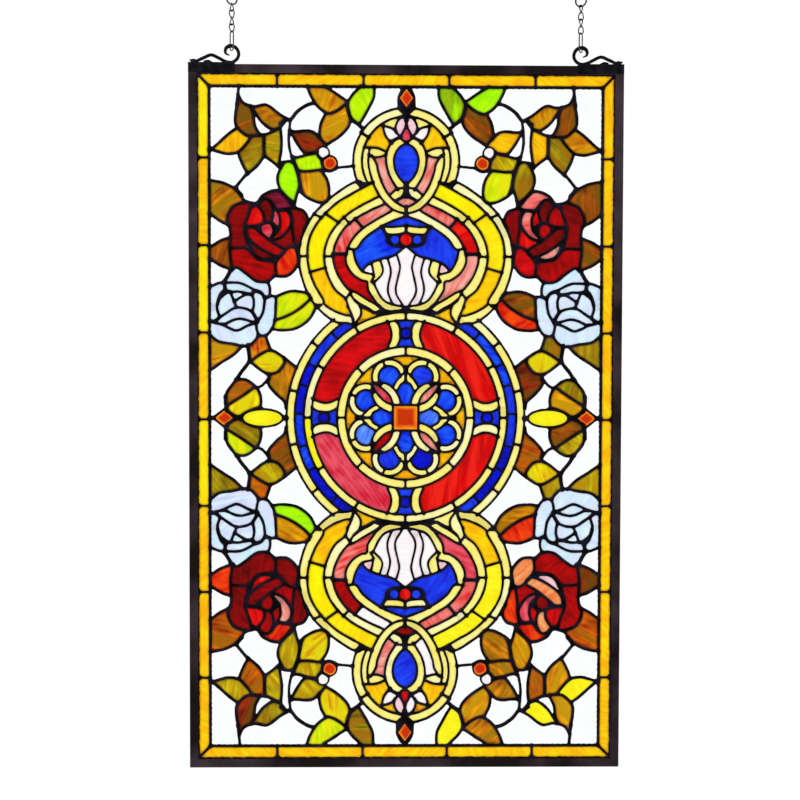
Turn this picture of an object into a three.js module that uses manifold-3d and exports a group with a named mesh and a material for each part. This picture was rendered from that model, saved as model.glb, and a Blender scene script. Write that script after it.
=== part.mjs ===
// A leaded glass panel in a thin metal channel frame, hung from two scrolls and two short chains.
// Millimetres. X runs across the panel, Z up, and the front face looks towards -Y.
// The origin lies midway between the tops of the two end rings that the panel hangs from.
import * as THREE from 'three';
import * as BufferGeometryUtils from 'three/addons/utils/BufferGeometryUtils.js';
import Module from 'manifold-3d';

const wasm = await Module();
wasm.setup();

// Overall sizes
const PANEL_WIDTH = 508;
const PANEL_HEIGHT = 826;
const GAP = 0.3;
const GLASS_THICKNESS = 3;
const BEAD_RISE = 0.9;

// Frame channel
const FRAME_FACE = 10;
const FRAME_DEPTH = 8;
const FRAME_WEB = 3.5;

// Strip of coloured border glass and the lead line inside it
const BORDER_WIDTH = 24;
const BORDER_LINE = 3.4;
const MITRE_LINE = 3;
const SEAM_LINE = 2.4;
const SIDE_SEAM_SPACING = 102;
const SIDE_SEAMS_EACH_WAY = 3;
const TOP_SEAMS = [50, 151];

// Facets of the solids
const RING_TOLERANCE = 1;
const WALL_TOLERANCE = 1.8;
const RIB_TOLERANCE = 3;
const CURVE_SAMPLES = 10;
const LEAST_PANE_AREA = 160;
const LEAST_OPENING_AREA = 30;

// The design is drawn on a field of this size, about a centre a little above the panel's own
const DRAWN_HALF_WIDTH = 230;
const DRAWN_HALF_HEIGHT = 388.1;
const DRAWN_CENTRE = 1.5;
const BORDER_TALLER = 0.9;

// Medallion, by the radii of its ring lines across the panel
const OUTER_RING = 140;
const BLUE_RING = 130.5;
const CREAM_RING = 119.7;
const SECTOR_RING = 110.7;
const INNER_RING = 80.7;
const ROSETTE_RING = 70.6;
const TALLNESS = 1.035;
const RING_LINE = 2.8;
const OUTER_RING_START = 127;
const BLUE_RING_START = 125;
const JEWEL_HALF = 13.5;
const JEWEL_LINE = 3;

// Small jewels, pads and diamonds
const OVAL = { x: 168, halfWidth: 22.3, halfHeight: 8.9 };
const SIDE_DIAMOND = { x: 213, halfWidth: 9.8, halfHeight: 7 };
const TOP_DIAMOND = { z: 374.5, halfWidth: 7.2, halfHeight: 10.5 };
const SIDE_PADS = [[DRAWN_HALF_WIDTH, 222], [203, 190], [146, OUTER_RING]];
const TOP_PAD = [[-6, 390], [-10.3, 370], [-10.3, 361], [10.3, 361], [10.3, 370], [6, 390]];
const FINIAL = { z: 302, outer: 62, inner: 51.8, start: 84, end: 208 };

// Hangers: a saddle on the top rail, an arch and a tapered scroll, then a short chain.
// Each is set out from the panel's top corner: inward along the rail, and up from its top.
const SADDLE = { length: 54, drop: 9, plate: 0.9, top: 1.7, back: 2 };
const SCROLL_STOCK = 4;
const SCROLL_PLATE = 2.8;
const CHAIN_INSET = 50.5;
const LINK_WIRE = 1.5;
const LINK_PITCH = 8;
const LINK_BITE = 0.2;
const FIRST_LINK_HALF_WIDTH = 3.8;
const LINK_HALF_WIDTH = 3;
const LINK_TURN = 35;
const LINK_COUNT = 4;
const FIRST_LINK_RISE = 15.4;
const FIRST_LINK_LENGTH = 22.8;
const LINK_WIRE_SIDES = 4;
const LINK_BEND_STEPS = 2;
const END_RING_RADIUS = 7;
const END_RING_WIRE = 2;
const END_RING_STRAIGHT = 0.01;
const END_RING_FACETS = 8;
const SCROLL_STEPS = 22;

// Sizes that follow from these
const HALF_WIDTH = PANEL_WIDTH / 2;
const HALF_HEIGHT = PANEL_HEIGHT / 2;
const GLASS_HALF = GLASS_THICKNESS / 2;
const BEAD_HALF = GLASS_HALF + BEAD_RISE;
const SLOT_HALF = GLASS_HALF + GAP;
const FIELD_HALF_WIDTH = HALF_WIDTH - BORDER_WIDTH;
const FIELD_HALF_HEIGHT = HALF_HEIGHT - BORDER_WIDTH - BORDER_TALLER;
const SCALE_X = FIELD_HALF_WIDTH / DRAWN_HALF_WIDTH;
const SCALE_Z = FIELD_HALF_HEIGHT / DRAWN_HALF_HEIGHT;
const OPENING_HALF_WIDTH = HALF_WIDTH - FRAME_FACE;
const OPENING_HALF_HEIGHT = HALF_HEIGHT - FRAME_FACE;
const FULL_TURN = 360;

// Lead lines of the top left quarter: a width, then the knots of one smooth run, x and z in turn.
// The walls part the big fields of glass.
const QUARTER_WALLS = [
  // Lobe, then the two edges of its red band
  [2.8, -54, 278, -72, 270.5, -90, 257.5, -108, 240, -120, 218, -125.5, 190, -119.5, 158,
    -108.5, 136, -93.5, 121, -78, 113.2, -60, 109.5],
  [2.8, -20, 251, -42, 244.5, -64, 231, -80, 211.5, -86, 189, -80.5, 171, -66, 151, -53, 145, -29, 130.5],
  [2.8, -13, 244, -28, 238, -50, 224, -65.5, 206, -70.5, 191, -67.5, 177, -57, 165.5, -47, 160.5],
  [2.8, -47, 160.5, -44, 151, -36, 138.5, -27, 129.5, -18, 125.5],
  // Foot of the finial
  [2.8, -56, 279, -47, 275.5, -38.5, 277.5],
  [2.8, -40.5, 283, -37, 272.5, -27, 256, -14, 244.8, 1, 240.5],
  // Red rose
  [2.8, -123, 206.5, -128, 200, -126, 188, -128, 177, -140, 167.5, -153, 167.6],
  [2.8, -152.5, 168.6, -161, 161.5, -168, 160.3, -182, 165.5, -194, 175.5, -199, 177.5, -205, 174.6],
  [2.8, -203.5, 174.5, -206, 193, -205.4, 214, -209.3, 234, -203, 247.5, -188, 254],
  [2.8, -190, 254.2, -182, 254.5, -175.5, 252.5, -168.5, 260.5, -160, 266, -148.5, 267.3],
  [2.8, -149.5, 267.6, -140, 257.5, -131, 248, -120, 243.5, -115, 234, -119.5, 222],
  // Blue rose
  [2.8, -231, 154, -222, 158.8, -213, 159.4],
  [3.8, -214.5, 159.4, -208, 168, -203.8, 175.5],
  [2.8, -163, 162, -159.5, 151, -161.5, 142.6],
  [2.8, -166, 142, -161, 143, -152.5, 143.2],
  [2.8, -153, 144, -152.7, 132, -154, 116, -160.5, 101.5, -173.5, 97.8],
  [2.8, -172.5, 98.6, -179.5, 88.5, -190, 85.3, -203, 88, -220, 91, -231, 100],
];

// The ribs are beads on the front of the glass, along the smaller pieces inside each field.
const LOBE_RIBS = [
  [2.8, -38.5, 278, -80, 254, -101, 233.5, -115.7, 192, -110.5, 166, -97, 139.5, -60, 119],
  [2.8, -31, 261.5, -56, 248.5, -93.5, 205, -94, 176, -69, 138, -62, 111],
];
const HEART_RIBS = [
  [2.8, 0, 240.5, -28, 226, -50, 210.5, -59.5, 195, -56, 178.5, -44.5, 156],
  [2.8, 0, 201.5, -15, 191.5, -53, 175.5],
];
const FINIAL_RIBS = [
  [2.8, 0, 365, -1, 345, -12, 323, -18, 303, -9, 275, 0, 258, 0, 240],
];
const HUB_EDGE = [[-22, 112], [-18.6, 103], [-17, 96], [-17.5, 89.5], [-21, 77]];
// Rosette petals, round the centre jewel
const ROSETTE_PETALS = { count: 8, radius: 49.5, across: 38.5 };
const ROSETTE_LEAF = [[-11, 15], [-17, 33], [-38, 39.5]];
const CREAM_SEAMS = 6;
const INNER_SEAMS = 4;
// The scroll's centre line: inward and up from the panel's corner, then the share of the stock at that knot
const SCROLL_PATH = [
  [8, 3.2, 0.75], [18, 6, 0.95], [27, 8.6, 0.95], [36, 5.6, 0.95], [43, 3.3, 1],
  [50.5, 2.6, 1], [56.5, 6.5, 1], [58.5, 12.5, 1], [55.5, 19.2, 1], [49, 21.7, 1.1],
  [43.7, 18.8, 1.25], [43.2, 13.2, 1], [48, 10.6, 0.35],
];
const LEAF_TIPS = [
  [[0.6, 0.6], [4, 4], [8, 4.4], [9, 0.6]],
  [[24.5, 5.5], [27.6, 3], [30.4, 0.7], [20.7, 0.7], [21.4, 4.3]],
];

function place(x, z) {
  return new THREE.Vector2(x * SCALE_X, z * SCALE_Z);
}

// Drops the points of a run that lie within the tolerance of the line between the ones kept
function thinned(points, tolerance) {
  if (points.length < 3) return points;
  const first = points[0];
  const last = points[points.length - 1];
  const along = last.clone().sub(first);
  const length = along.length();
  let worst = 0;
  let at = 0;
  for (let i = 1; i < points.length - 1; i += 1) {
    const off = points[i].clone().sub(first);
    const distance = length > 0 ? Math.abs(off.cross(along)) / length : off.length();
    if (distance > worst) {
      worst = distance;
      at = i;
    }
  }
  if (worst <= tolerance) return [first, last];
  const before = thinned(points.slice(0, at + 1), tolerance);
  const after = thinned(points.slice(at), tolerance);
  return before.concat(after.slice(1));
}

// A smooth run through its knots, in a few straight facets
function run(numbers, tolerance) {
  const knots = [];
  for (let i = 0; i < numbers.length; i += 2) knots.push(new THREE.Vector3(numbers[i], numbers[i + 1], 0));
  const curve = new THREE.CatmullRomCurve3(knots, false, 'centripetal');
  const points = curve.getPoints(CURVE_SAMPLES * (knots.length - 1)).map((p) => place(p.x, p.y));
  return thinned(points, tolerance);
}

function arc(centreZ, radiusX, radiusZ, from, to) {
  const points = [];
  const steps = Math.ceil((facetsFor(radiusZ) * Math.abs(to - from)) / FULL_TURN);
  for (let i = 0; i <= steps; i += 1) {
    const angle = THREE.MathUtils.degToRad(from + ((to - from) * i) / steps);
    points.push(place(radiusX * Math.cos(angle), centreZ + radiusZ * Math.sin(angle)));
  }
  return points;
}

// The outline of a line along a run, square at its ends; its width is one size, or one for each point
function ribbon(points, width) {
  const left = [];
  const right = [];
  for (let i = 0; i < points.length; i += 1) {
    const before = points[Math.max(i - 1, 0)];
    const after = points[Math.min(i + 1, points.length - 1)];
    const into = points[i].clone().sub(before).normalize();
    const out = after.clone().sub(points[i]).normalize();
    const way = into.add(out).normalize();
    const turn = Math.max(way.dot(out.lengthSq() > 0 ? out : way), 0.5);
    const across = Array.isArray(width) ? width[i] : width;
    const side = new THREE.Vector2(-way.y, way.x).multiplyScalar(across / 2 / turn);
    left.push(points[i].clone().add(side));
    right.unshift(points[i].clone().sub(side));
  }
  return left.concat(right);
}

function solid(geometry) {
  geometry.deleteAttribute('normal');
  geometry.deleteAttribute('uv');
  const merged = BufferGeometryUtils.mergeVertices(geometry, 1e-4);
  return new wasm.Manifold(new wasm.Mesh({
    numProp: 3,
    vertProperties: new Float32Array(merged.attributes.position.array),
    triVerts: new Uint32Array(merged.index.array),
  }));
}

function sheet(outline, front, back, holes = []) {
  const shape = new THREE.Shape(outline);
  for (const hole of holes) shape.holes.push(new THREE.Path(hole));
  const geometry = new THREE.ExtrudeGeometry(shape, { depth: back - front, bevelEnabled: false, steps: 1 });
  geometry.rotateX(Math.PI / 2);
  geometry.translate(0, back, 0);
  return solid(geometry);
}

function rectangle(halfWidth, halfHeight) {
  return [
    new THREE.Vector2(-halfWidth, -halfHeight), new THREE.Vector2(halfWidth, -halfHeight),
    new THREE.Vector2(halfWidth, halfHeight), new THREE.Vector2(-halfWidth, halfHeight),
  ];
}

// Enough facets round a circle to keep within the tolerance of it
function facetsFor(radius) {
  return Math.ceil(Math.PI / Math.acos(1 - RING_TOLERANCE / radius));
}

function ellipse(x, z, radiusX, radiusZ, facets) {
  const points = [];
  for (let i = 0; i < facets; i += 1) {
    const angle = (2 * Math.PI * i) / facets;
    points.push(place(x + radiusX * Math.cos(angle), z + radiusZ * Math.sin(angle)));
  }
  return points;
}

function diamond(x, z, halfWidth, halfHeight) {
  return [place(x - halfWidth, z), place(x, z - halfHeight), place(x + halfWidth, z), place(x, z + halfHeight)];
}

// The four mirror images of a run drawn in the top left quarter
function mirrored(points) {
  const centre = 2 * DRAWN_CENTRE * SCALE_Z;
  const images = [
    (p) => p.clone(),
    (p) => new THREE.Vector2(-p.x, p.y),
    (p) => new THREE.Vector2(p.x, centre - p.y),
    (p) => new THREE.Vector2(-p.x, centre - p.y),
  ];
  return images.map((image) => points.map(image));
}

// Each lead line is kept as a maker, so that the same line makes its bead and the wider cut in the glass
const walls = [];
const ribs = [];

function addLine(list, width, points) {
  list.push((spread, front, back) => sheet(ribbon(points, width + 2 * spread), front, back));
}

function addRing(list, x, z, radiusX, radiusZ, width) {
  const facets = facetsFor(Math.max(radiusX, radiusZ));
  list.push((spread, front, back) => {
    const half = width / 2 + spread;
    const outer = ellipse(x, z, radiusX + half, radiusZ + half, facets);
    const inner = ellipse(x, z, radiusX - half, radiusZ - half, facets);
    return sheet(outer, front, back, [inner]);
  });
}

function addQuarter(list, lines, tolerance) {
  for (const [width, ...numbers] of lines) {
    for (const points of mirrored(run(numbers, tolerance))) addLine(list, width, points);
  }
}

addQuarter(walls, QUARTER_WALLS, WALL_TOLERANCE);
for (const group of [LOBE_RIBS, HEART_RIBS, FINIAL_RIBS]) addQuarter(ribs, group, RIB_TOLERANCE);

// Border line and its mitres
const corner = new THREE.Vector2(FIELD_HALF_WIDTH, FIELD_HALF_HEIGHT);
const lineEnd = BORDER_LINE / 2;
for (const side of [-1, 1]) {
  addLine(walls, BORDER_LINE, [
    new THREE.Vector2(-corner.x - lineEnd, side * corner.y), new THREE.Vector2(corner.x + lineEnd, side * corner.y),
  ]);
  addLine(walls, BORDER_LINE, [
    new THREE.Vector2(side * corner.x, -corner.y - lineEnd), new THREE.Vector2(side * corner.x, corner.y + lineEnd),
  ]);
}
const mitreReach = BORDER_WIDTH - FRAME_FACE - GAP - MITRE_LINE / 2;
const mitreCuts = [];
for (const sideX of [-1, 1]) {
  for (const sideZ of [-1, 1]) {
    const inner = new THREE.Vector2(sideX * corner.x, sideZ * corner.y);
    const way = new THREE.Vector2(sideX, sideZ);
    addLine(walls, MITRE_LINE, [inner, inner.clone().addScaledVector(way, mitreReach)]);
    mitreCuts.push([inner, inner.clone().addScaledVector(way, 2 * BORDER_WIDTH)]);
  }
}

// Seams across the border
const seamOuter = FRAME_FACE + GAP;
for (const side of [-1, 1]) {
  for (let i = -SIDE_SEAMS_EACH_WAY; i <= SIDE_SEAMS_EACH_WAY; i += 1) {
    const z = i * SIDE_SEAM_SPACING;
    addLine(ribs, SEAM_LINE, [
      new THREE.Vector2(side * corner.x, z), new THREE.Vector2(side * (HALF_WIDTH - seamOuter), z),
    ]);
  }
  for (const x of TOP_SEAMS) {
    for (const mirror of [-1, 1]) {
      addLine(ribs, SEAM_LINE, [
        new THREE.Vector2(mirror * x, side * corner.y),
        new THREE.Vector2(mirror * x, side * (HALF_HEIGHT - seamOuter)),
      ]);
    }
  }
}

// Rings of the medallion, hubs and seams
for (const turn of [0, FULL_TURN / 2]) {
  addLine(walls, RING_LINE, arc(DRAWN_CENTRE, OUTER_RING, OUTER_RING * TALLNESS,
    turn + OUTER_RING_START, turn + FULL_TURN - OUTER_RING_START));
  addLine(walls, RING_LINE, arc(DRAWN_CENTRE, BLUE_RING, BLUE_RING * TALLNESS,
    turn + BLUE_RING_START, turn + FULL_TURN - BLUE_RING_START));
}

function quarterTurned(u, v, quarter) {
  const flip = quarter < 2 ? 1 : -1;
  const x = quarter % 2 === 0 ? u : -v * flip;
  const z = quarter % 2 === 0 ? v * flip : u;
  return place(x, DRAWN_CENTRE + z * TALLNESS);
}

function addTurned(list, width, pairs) {
  const numbers = pairs.flat();
  const knots = [];
  for (let i = 0; i < numbers.length; i += 2) knots.push(new THREE.Vector3(numbers[i], numbers[i + 1], 0));
  const curve = new THREE.CatmullRomCurve3(knots, false, 'centripetal');
  const smooth = curve.getPoints(CURVE_SAMPLES * (knots.length - 1));
  for (let quarter = 0; quarter < 4; quarter += 1) {
    const points = smooth.map((p) => quarterTurned(p.x, p.y, quarter));
    addLine(list, width, thinned(points, WALL_TOLERANCE));
  }
}

addTurned(walls, RING_LINE, HUB_EDGE);
addTurned(walls, RING_LINE, HUB_EDGE.map(([u, v]) => [-u, v]));
addTurned(ribs, RING_LINE, ROSETTE_LEAF);
addTurned(ribs, RING_LINE, ROSETTE_LEAF.map(([u, v]) => [-v, -u]));

function addSpokes(count, from, to) {
  for (let i = 0; i < count; i += 1) {
    const turn = (2 * Math.PI * i) / count;
    const ends = [from, to].map((radius) => place(
      radius * Math.cos(turn), DRAWN_CENTRE + radius * TALLNESS * Math.sin(turn),
    ));
    addLine(ribs, RING_LINE, ends);
  }
}
addSpokes(CREAM_SEAMS, SECTOR_RING, CREAM_RING);
addSpokes(INNER_SEAMS, ROSETTE_RING, INNER_RING);

for (const radius of [CREAM_RING, SECTOR_RING, INNER_RING, ROSETTE_RING]) {
  addRing(walls, 0, DRAWN_CENTRE, radius, radius * TALLNESS, RING_LINE);
}
for (const side of [-1, 1]) {
  const across = OVAL.halfWidth + RING_LINE / 2;
  addRing(walls, side * OVAL.x, 0, across, OVAL.halfHeight + RING_LINE / 2, RING_LINE);
}

// Joins in pairs, so that each step works on pieces of like size
function joined(pieces) {
  let list = pieces;
  while (list.length > 1) {
    const next = [];
    for (let i = 0; i < list.length; i += 2) next.push(i + 1 < list.length ? list[i].add(list[i + 1]) : list[i]);
    list = next;
  }
  return list[0];
}

const finialRings = [[walls, FINIAL.outer], [ribs, FINIAL.inner]];
for (const [list, radius] of finialRings) {
  const ring = arc(FINIAL.z, radius, radius, FINIAL.start, FINIAL.end);
  for (const points of mirrored(ring)) addLine(list, RING_LINE, points);
}

// Solder pad round the diamond over each finial, and the bezel of the centre jewel
const padOutline = TOP_PAD.map(([x, z]) => place(x, z));
const topDiamond = diamond(0, TOP_DIAMOND.z, TOP_DIAMOND.halfWidth, TOP_DIAMOND.halfHeight);
const diamondBezel = diamond(0, TOP_DIAMOND.z, TOP_DIAMOND.halfWidth + 2 * GAP, TOP_DIAMOND.halfHeight + 2 * GAP);

function underneath(outline) {
  return mirrored(outline)[2].reverse();
}
for (const outline of [padOutline, underneath(padOutline)]) {
  walls.push((spread, front, back) => sheet(outline, front, back));
}
const jewelHalf = JEWEL_HALF * SCALE_X;
const jewelCentre = DRAWN_CENTRE * SCALE_Z;

function jewelSquare(half) {
  return rectangle(half, half).map((p) => new THREE.Vector2(p.x, p.y + jewelCentre));
}
walls.push((spread, front, back) => (
  sheet(jewelSquare(jewelHalf + JEWEL_LINE + spread), front, back, [jewelSquare(jewelHalf + GAP - spread)])
));

// Side diamonds and the petals of the rosette, as beads on the front
for (const mirror of [-1, 1]) {
  const line = RING_LINE;
  const outside = diamond(mirror * SIDE_DIAMOND.x, 0, SIDE_DIAMOND.halfWidth + line, SIDE_DIAMOND.halfHeight + line);
  const inside = diamond(mirror * SIDE_DIAMOND.x, 0, SIDE_DIAMOND.halfWidth, SIDE_DIAMOND.halfHeight);
  ribs.push((spread, front, back) => sheet(outside, front, back, [inside]));
  for (const [from, to] of SIDE_PADS) {
    addLine(ribs, 2 * line, [place(mirror * from, 0), place(mirror * to, 0)]);
  }
}
for (let i = 0; i < ROSETTE_PETALS.count; i += 1) {
  const angle = (2 * Math.PI * (i + 0.5)) / ROSETTE_PETALS.count;
  const x = ROSETTE_PETALS.radius * Math.cos(angle);
  const z = DRAWN_CENTRE + ROSETTE_PETALS.radius * TALLNESS * Math.sin(angle);
  addRing(ribs, x, z, ROSETTE_PETALS.across / 2, ROSETTE_PETALS.across / 2, RING_LINE);
}

// Glass, cut along every wall
const glassEdge = HALF_WIDTH - FRAME_WEB - GAP;
const glassTop = HALF_HEIGHT - FRAME_WEB - GAP;
const cutFront = -BEAD_HALF - 1;
const cutBack = BEAD_HALF + 1;
const cuts = walls.map((make) => make(GAP, cutFront, cutBack));
for (const points of mitreCuts) cuts.push(sheet(ribbon(points, MITRE_LINE + 2 * GAP), cutFront, cutBack));
const plate = sheet(rectangle(glassEdge, glassTop), -GLASS_HALF, GLASS_HALF);
const panes = plate.subtract(joined(cuts)).decompose()
  .filter((piece) => piece.volume() > LEAST_PANE_AREA * GLASS_THICKNESS);

// Lead and solder network: a slab less the openings that its lines leave, so small chinks stay filled
const slabOutline = rectangle(OPENING_HALF_WIDTH - GAP, OPENING_HALF_HEIGHT - GAP);

function network(makers, front, back) {
  const lines = joined(makers.map((make) => make(0, cutFront, cutBack)));
  const slab = sheet(slabOutline, front, back);
  const openings = slab.subtract(lines).decompose()
    .filter((piece) => piece.volume() > LEAST_OPENING_AREA * (back - front));
  return slab.subtract(joined(openings));
}
const bezels = [diamondBezel, underneath(diamondBezel)].map((outline) => sheet(outline, cutFront, cutBack));
const came = network(walls, -BEAD_HALF, BEAD_HALF)
  .add(network(walls.concat(ribs), -BEAD_HALF, -GLASS_HALF - GAP))
  .subtract(joined(bezels));

// Frame rails, mitred at the corners
const frameHalfDepth = FRAME_DEPTH / 2;
const channel = sheet(
  rectangle(HALF_WIDTH, HALF_HEIGHT), -frameHalfDepth, frameHalfDepth,
  [rectangle(OPENING_HALF_WIDTH, OPENING_HALF_HEIGHT)],
).subtract(sheet(rectangle(HALF_WIDTH - FRAME_WEB, HALF_HEIGHT - FRAME_WEB), -SLOT_HALF, SLOT_HALF));
const mitreGap = (GAP * Math.SQRT2) / 2;
const mitreDepth = 2 * FRAME_FACE;

function railWedge(alongX, side) {
  const wide = (alongX ? HALF_WIDTH : HALF_HEIGHT) - mitreGap;
  const far = alongX ? HALF_HEIGHT : HALF_WIDTH;
  const near = far - mitreDepth;
  const corners = [[-wide, far], [wide, far], [wide - mitreDepth, near], [-wide + mitreDepth, near]];
  const outline = corners.map(([along, out]) => (
    alongX ? new THREE.Vector2(along, side * out) : new THREE.Vector2(side * out, along)
  ));
  return sheet(outline, -frameHalfDepth - 1, frameHalfDepth + 1);
}

// A closed wire loop in the plane that holds the way across and the Z axis
function wireLoop(x, centreZ, halfWidth, halfLength, wire, turn, bendSteps) {
  const straight = halfLength - halfWidth;
  const points = [];
  for (const end of [1, -1]) {
    for (let i = 0; i <= bendSteps; i += 1) {
      const angle = (Math.PI * i) / bendSteps;
      points.push([end * halfWidth * Math.cos(angle), end * (straight + halfWidth * Math.sin(angle))]);
    }
  }
  const facing = THREE.MathUtils.degToRad(turn);
  const across = new THREE.Vector3(Math.sin(facing), Math.cos(facing), 0);
  const normal = new THREE.Vector3(Math.cos(facing), -Math.sin(facing), 0);
  const centre = new THREE.Vector3(x, 0, centreZ);
  const up = new THREE.Vector3(0, 0, 1);
  const count = points.length;
  const positions = [];
  const indices = [];
  for (let i = 0; i < count; i += 1) {
    const [u, v] = points[i];
    const [beforeU, beforeV] = points[(i + count - 1) % count];
    const [afterU, afterV] = points[(i + 1) % count];
    const length = Math.hypot(afterU - beforeU, afterV - beforeV);
    const outU = (afterV - beforeV) / length;
    const outV = -(afterU - beforeU) / length;
    for (let k = 0; k < LINK_WIRE_SIDES; k += 1) {
      const angle = (2 * Math.PI * k) / LINK_WIRE_SIDES;
      const out = (wire / 2) * Math.cos(angle);
      const point = centre.clone()
        .addScaledVector(across, u + outU * out)
        .addScaledVector(up, v + outV * out)
        .addScaledVector(normal, (wire / 2) * Math.sin(angle));
      positions.push(point.x, point.y, point.z);
    }
  }
  for (let i = 0; i < count; i += 1) {
    const next = (i + 1) % count;
    for (let k = 0; k < LINK_WIRE_SIDES; k += 1) {
      const turned = (k + 1) % LINK_WIRE_SIDES;
      const a = i * LINK_WIRE_SIDES + k;
      const b = i * LINK_WIRE_SIDES + turned;
      const c = next * LINK_WIRE_SIDES + turned;
      const d = next * LINK_WIRE_SIDES + k;
      indices.push(a, c, b, a, d, c);
    }
  }
  const geometry = new THREE.BufferGeometry();
  geometry.setAttribute('position', new THREE.BufferAttribute(new Float32Array(positions), 3));
  geometry.setIndex(indices);
  return solid(geometry);
}

// The chain's links stand on each other, each a quarter turn round from the last
const linkHalf = (LINK_PITCH + LINK_WIRE - LINK_BITE) / 2;
const firstCentre = HALF_HEIGHT + FIRST_LINK_RISE + LINK_WIRE / 2 + FIRST_LINK_LENGTH / 2;
const chainCentres = [firstCentre];
for (let i = 0; i < LINK_COUNT; i += 1) {
  const below = i === 0 ? FIRST_LINK_LENGTH / 2 : linkHalf;
  chainCentres.push(chainCentres[i] + below + linkHalf - LINK_WIRE + LINK_BITE);
}
const ringCentre = chainCentres[LINK_COUNT] + linkHalf + END_RING_RADIUS
  - (LINK_WIRE + END_RING_WIRE) / 2 + LINK_BITE;
const hangHeight = ringCentre + END_RING_RADIUS - END_RING_WIRE / 2;

function chain(side) {
  const x = side * (HALF_WIDTH - CHAIN_INSET);
  const pieces = chainCentres.map((z, i) => wireLoop(
    x, z, i === 0 ? FIRST_LINK_HALF_WIDTH : LINK_HALF_WIDTH, i === 0 ? FIRST_LINK_LENGTH / 2 : linkHalf,
    LINK_WIRE, side * (LINK_TURN + (i * FULL_TURN) / 4), LINK_BEND_STEPS,
  ));
  pieces.push(wireLoop(
    x, ringCentre, END_RING_RADIUS, END_RING_RADIUS + END_RING_STRAIGHT, END_RING_WIRE,
    side * (LINK_TURN + ((LINK_COUNT + 1) * FULL_TURN) / 4), END_RING_FACETS / 2,
  ));
  return joined(pieces);
}

// A bar of one profile, drawn across Y and Z, about a middle in X
function bar(profile, middle, length) {
  const shape = new THREE.Shape(profile);
  const geometry = new THREE.ExtrudeGeometry(shape, { depth: length, bevelEnabled: false, steps: 1 });
  geometry.applyMatrix4(new THREE.Matrix4().set(0, 0, 1, middle - length / 2, 1, 0, 0, 0, 0, 1, 0, 0, 0, 0, 0, 1));
  return solid(geometry);
}

// The arch, the tapering scroll and the leaf tips are one flat plate on the saddle
function scroll(side) {
  const knots = SCROLL_PATH.map(([inward, up]) => (
    new THREE.Vector3(side * (HALF_WIDTH - inward), HALF_HEIGHT + up, 0)
  ));
  const curve = new THREE.CatmullRomCurve3(knots, false, 'centripetal');
  const points = [];
  const widths = [];
  for (let i = 0; i <= SCROLL_STEPS; i += 1) {
    const point = curve.getPoint(i / SCROLL_STEPS);
    points.push(new THREE.Vector2(point.x, point.y));
    const at = (i * (SCROLL_PATH.length - 1)) / SCROLL_STEPS;
    const low = Math.floor(at);
    const high = Math.min(low + 1, SCROLL_PATH.length - 1);
    const share = SCROLL_PATH[low][2] + (SCROLL_PATH[high][2] - SCROLL_PATH[low][2]) * (at - low);
    widths.push(SCROLL_STOCK * share);
  }
  const parts = [sheet(ribbon(points, widths), -SCROLL_PLATE / 2, SCROLL_PLATE / 2)];
  for (const tip of LEAF_TIPS) {
    const outline = tip.map(([inward, up]) => (
      new THREE.Vector2(side * (HALF_WIDTH - inward), HALF_HEIGHT + up + GAP)
    ));
    parts.push(sheet(outline, -SCROLL_PLATE / 2, SCROLL_PLATE / 2));
  }
  const top = HALF_HEIGHT + GAP;
  const face = -frameHalfDepth - GAP;
  const profile = [
    [face - SADDLE.plate, HALF_HEIGHT - SADDLE.drop], [face, HALF_HEIGHT - SADDLE.drop], [face, top],
    [SADDLE.back, top], [SADDLE.back, top + SADDLE.top], [face - SADDLE.plate, top + SADDLE.top],
  ].map(([y, z]) => new THREE.Vector2(y, z));
  parts.push(bar(profile, side * (HALF_WIDTH - SADDLE.length / 2), SADDLE.length));
  return joined(parts);
}

// Materials, by what the glass or metal is
const LOOKS = {
  frame: { color: '#2c2622', roughness: 0.5, metalness: 0.7 },
  came: { color: '#17130f', roughness: 0.4, metalness: 0.8 },
  scroll: { color: '#1d1a18', roughness: 0.5, metalness: 0.8 },
  chain: { color: '#3a3532', roughness: 0.4, metalness: 0.9 },
  border: { color: '#ffb41e', roughness: 0.2, metalness: 0 },
  red: { color: '#c81218', roughness: 0.2, metalness: 0 },
  blue: { color: '#2038e0', roughness: 0.2, metalness: 0 },
  cream: { color: '#f6eb9a', roughness: 0.2, metalness: 0 },
  yellow: { color: '#f5e61e', roughness: 0.2, metalness: 0 },
  orange: { color: '#e86a14', roughness: 0.2, metalness: 0 },
  field: { color: '#d9dfa8', roughness: 0.15, metalness: 0 },
};

// Each field of glass: its name, a spot on it in the drawing and its look
const MEDALLION_SPOT = 102;
const FIELDS = [
  ['centre_jewel', 0, DRAWN_CENTRE, 'orange'],
  ['medallion_rosette', 0, DRAWN_CENTRE + 55, 'blue'],
  ['medallion_inner_ring', 76, DRAWN_CENTRE + 2, 'cream'],
  ['medallion_cream_ring', 115.2, DRAWN_CENTRE + 2, 'cream'],
  ['hub_top', 0, MEDALLION_SPOT, 'blue'],
  ['hub_bottom', 0, -MEDALLION_SPOT, 'blue'],
  ['hub_left', -95, DRAWN_CENTRE, 'blue'],
  ['hub_right', 95, DRAWN_CENTRE, 'blue'],
  ['blue_arc_left', -125, DRAWN_CENTRE, 'blue'],
  ['blue_arc_right', 125, DRAWN_CENTRE, 'blue'],
  ['outer_arc_left', -135.2, DRAWN_CENTRE, 'cream'],
  ['outer_arc_right', 135.2, DRAWN_CENTRE, 'cream'],
  ['oval_left', -OVAL.x, 0, 'yellow'],
  ['oval_right', OVAL.x, 0, 'yellow'],
  ['heart_top', -40, 205, 'blue'],
  ['heart_bottom', -40, -202, 'blue'],
  ['finial_top', 0, 300, 'blue'],
  ['finial_bottom', 0, -297, 'blue'],
  ['field_left', -150, 60, 'field'],
  ['field_right', 150, 60, 'field'],
];
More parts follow.
